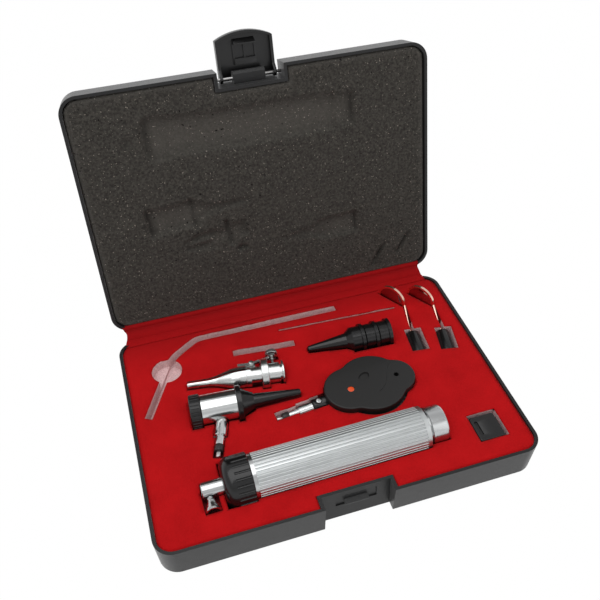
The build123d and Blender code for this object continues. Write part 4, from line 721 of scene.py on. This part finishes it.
def widened(values, reach):
    # mean over a square window, one way and then the other
    for a, b in ((1, 0), (0, 1)):
        window = range(-reach, reach + 1)
        values = {
            (i, j): sum(values.get((i + a * k, j + b * k), 0) for k in window) / (2 * reach + 1)
            for i, j in values
        }
    return values


def pressIns(grid):
    # how far each place is pushed in by what lies under the shut lid
    tree = instrumentTree()
    heights = {}
    for key, (x, y) in grid.items():
        hit = tree.ray_cast(Vector((x, y, lidPad["above"])) * mm, Vector((0, 0, -1)))[0]
        heights[key] = max(0, hit.z / mm - lidPad["face"]) if hit else 0
    return widened(heights, 1)


def lidPadPiece():
    grid = padGrid()
    pushed = pressIns(grid)
    broad = widened(pushed, lidPad["window"])
    bumpHeight, bumpLength = lidPad["bump"]
    curve = lidPad["round"]
    points, index = [], {}
    drawn = {"pressed": [], "crease": [], "rim": []}
    for key, (x, y) in grid.items():
        inside = padInside(x, y)
        if inside < -0.01:
            continue
        drop = curve - math.sqrt(max(0, curve ** 2 - max(0, curve - inside) ** 2))
        bumpy = noise.noise(Vector((x, y, 3)) / bumpLength) * bumpHeight
        dug = max(0, pushed[key] - broad[key]) * lidPad["crease"]
        mark = min(lidPad["deepest"], max(0, pushed[key] - lidPad["slack"]) * lidPad["kept"] + dug)
        index[key] = len(points)
        points.append(lidPoint(x, y, lidPad["face"] + drop + mark + bumpy))
        # masks for painted light: highlights in the marks and along the edge, painted shade in the
        # creases
        drawn["pressed"].append(mark / lidPad["deepest"])
        drawn["crease"].append(min(1, dug / lidPad["full"]))
        drawn["rim"].append(max(0, 1 - inside / lidPad["rim"]))
    faces = []
    for i, j in grid:
        ring = [(i, j), (i, j + 1), (i + 1, j + 1), (i + 1, j)]
        if all(key in index for key in ring):
            faces.append([index[key] for key in ring])
    piece = newPiece("lidFoam", points, faces, lidFoamPaint)
    for name, values in drawn.items():
        layer = piece.data.attributes.new(name, "FLOAT", "POINT")
        layer.data.foreach_set("value", values)
    addWalls(piece)
    return piece


def addWalls(piece):
    # the pad's sides, from the rounded edge of its face into the lid
    body = bmesh.new()
    body.from_mesh(piece.data)
    openEdges = [e for e in body.edges if e.is_boundary]
    made = bmesh.ops.extrude_edge_only(body, edges=openEdges)
    for item in made["geom"]:
        if isinstance(item, bmesh.types.BMVert):
            item.co += lidUp * (lidPad["back"] - lidPad["face"] - lidPad["round"]) * mm
    body.normal_update()
    bmesh.ops.recalc_face_normals(body, faces=body.faces)
    for f in body.faces:
        f.smooth = True
    body.to_mesh(piece.data)
    body.free()


lidFoam = lidPadPiece()
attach(lidFoam, "lid")
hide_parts("lid_foam")
tuple(lidPoint(0, 0, lidPad["back"]))
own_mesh(lidFoam)
print("lid lined")


strip = {
    "half": (-115.0, 112.5),    # its two ends
    "waist": 2.6,               # how much the ends draw in at the fold
    "waistFrom": 104.0,         # where that begins, and over what length it grows
    "waistOver": 10.0,
    "thick": 0.6,
    "step": 3.0,
    "arcRadius": 5.4,
    "arc": (155.9, 59.6),       # degrees round the hinge, from the base to the lid
    "arcSteps": 14,
    "onTray": ((78.6, 23.75), (79.8, 23.85), (80.6, 24.3), (81.3, 24.86), (82.4, 24.9)),
    "onLid": ((82.3, 24.15), (81.2, 24.15), (80.4, 24.6), (80.1, 25.8), (80.1, 28.0)),
}


def aroundHinge(degrees):
    # y and z of a point of the strip's bend
    angle = math.radians(degrees)
    hingeY, hingeZ = case["hinge"]
    return hingeY + strip["arcRadius"] * math.cos(angle), hingeZ + strip["arcRadius"] * math.sin(angle)


def stripPath():
    # from the tray over the rear rim, round the hinge and over the rim of the lid
    path = list(strip["onTray"])
    start, end = strip["arc"]
    for number in range(strip["arcSteps"] + 1):
        path.append(aroundHinge(start + (end - start) * number / strip["arcSteps"]))
    for y, z in strip["onLid"]:
        spot = lidPoint(0, y, z) / mm
        path.append((spot.y, spot.z))
    return path


def hingeStrip():
    path = stripPath()
    left, right = strip["half"]
    count = int((right - left) / strip["step"])
    rows = len(path)
    points, faces = [], []
    for number in range(count + 1):
        x = left + (right - left) * number / count
        ends = max(0, abs(x) - strip["waistFrom"]) / strip["waistOver"]
        for row, (y, z) in enumerate(path):
            drawn = strip["waist"] * ends * math.sin(math.pi * row / (rows - 1))
            points.append(Vector((x - math.copysign(drawn, x), y, z)) * mm)
    for i in range(count):
        for j in range(rows - 1):
            a = i * rows + j
            faces.append([a, a + rows, a + rows + 1, a + 1])
    piece = newPiece("hingeFelt", points, faces, felt)
    thicken(piece, strip["thick"] * mm, 0)
    length = sum(math.hypot(b[0] - a[0], b[1] - a[1]) for a, b in zip(path, path[1:]))
    return piece, ((right - left) * mm, length * mm)


hingeFelt, stripFlat = hingeStrip()
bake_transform(hingeFelt)
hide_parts("hinge_strip")
print("hinge lined, strip flat", stripFlat)


studio = {
    "floor": 0.86,              # grey of the floor
    "seen": 0.997,              # how white the floor is to the eye, and in the metal
    "mirrored": 0.8,
    "half": 6.0,                # half its width
    "drop": 0.3 * mm,           # how far it lies under the case
    "world": 0.56,              # even light from all round
    # the room that shiny pieces mirror, as heights and greys
    "bands": (
        (0.0, 1.05), (0.22, 1.0), (0.38, 0.72), (0.55, 0.66), (0.72, 0.82), (0.86, 0.6), (1.0, 0.66),
    ),
}
lamps = {
    "key": {"place": (-0.2, -0.05, 0.95), "target": (0, 0.02, 0.03), "size": 0.9, "power": 4.7},
    "fill": {"place": (0.7, -0.7, 0.7), "target": (0, 0.02, 0.05), "size": 0.8, "power": 1.3},
}


def grey(value):
    return (value, value, value, 1)


def floorPaint():
    paint = Paint("floorPaint")
    soft = paint.noise(0.5, 2)
    tone = paint.mixed(soft * 0.05, grey(studio["floor"]), grey(studio["floor"] * 0.97))
    dull = {"Base Color": tone, "Roughness": 0.9, "Specular IOR Level": 0.1}
    surface = paint.node("BsdfPrincipled", {}, dull)
    seen = paint.node("Emission", {}, {"Color": grey(1), "Strength": 1.0})
    straight = paint.node("LightPath", out="Is Camera Ray")
    shiny = paint.node("LightPath", out="Is Glossy Ray")
    share = straight * studio["seen"] + (1 - straight) * shiny * studio["mirrored"]
    both = paint.node("MixShader", {}, {0: share, 1: surface, 2: seen})
    paint.node("OutputMaterial", {}, {"Surface": both})
    return paint


def studioFloor():
    half, under = studio["half"], -studio["drop"]
    corners = [(-half, -half, under), (half, -half, under), (half, half, under), (-half, half, under)]
    floor = newPiece("floor", corners, [[0, 1, 2, 3]], floorPaint())


def lamp(name, place, target, size, power):
    data = bpy.data.lights.new(name, "AREA")
    data.shape = "RECTANGLE"
    data.size = data.size_y = size
    data.energy = power
    light = bpy.data.objects.new(name, data)
    bpy.context.scene.collection.objects.link(light)
    light.location = place
    light.rotation_mode = "QUATERNION"
    light.rotation_quaternion = (Vector(target) - Vector(place)).to_track_quat("-Z", "Y")


def studioWorld():
    # white to the eye, an even grey for the light, and a bright, banded room for what mirrors it
    world = bpy.data.worlds.new("studio")
    bpy.context.scene.world = world
    sky = Paint("studio", world, "Generated")
    lit = sky.node("Background", {}, {"Color": grey(1), "Strength": studio["world"]})
    white = sky.node("Background", {}, {"Color": grey(1), "Strength": 1.0})
    height = sky.node("SeparateXYZ", {}, {0: sky.place}, out="Z")
    stops = [(up, (tone, tone, tone * 1.01, 1)) for up, tone in studio["bands"]]
    ramp = sky.node("ValToRGB", {"stops": stops}, {0: height})
    room = sky.node("Background", {}, {"Color": ramp})
    mirrored = sky.node("LightPath", out="Is Glossy Ray")
    seen = sky.node("LightPath", out="Is Camera Ray")
    around = sky.node("MixShader", {}, {0: mirrored, 1: lit, 2: room})
    both = sky.node("MixShader", {}, {0: seen, 1: around, 2: white})
    sky.node("OutputWorld", {}, {"Surface": both})


studioFloor()
studioWorld()
for name, settings in lamps.items():
    lamp(name, **settings)
print("studio lit")


camera = {
    "place": (-92.9, -284.5, 402.4),
    "yaw": 16.25,       # degrees from +Y towards +X
    "pitch": 44.38,     # degrees below the horizon
    "roll": -1.34,
    "lens": 43.72,
}
yaw, pitch, roll = (math.radians(camera[key]) for key in ("yaw", "pitch", "roll"))
forward = Vector((math.sin(yaw) * math.cos(pitch), math.cos(yaw) * math.cos(pitch), -math.sin(pitch)))
level = Vector((math.cos(yaw), -math.sin(yaw), 0))
upward = level.cross(forward)
sideways = level * math.cos(roll) + upward * math.sin(roll)
upright = upward * math.cos(roll) - level * math.sin(roll)
eye = bpy.data.objects.new("eye", bpy.data.cameras.new("eye"))
bpy.context.scene.collection.objects.link(eye)
turn = Matrix((sideways, upright, -forward)).transposed().to_4x4()
eye.matrix_world = Matrix.Translation(Vector(camera["place"]) * mm) @ turn
eye.data.lens = camera["lens"]
eye.data.sensor_width = 36
eye.data.clip_start = 0.01
bpy.context.scene.camera = eye
bpy.context.scene.view_settings.view_transform = "Standard"

print("scene ready")
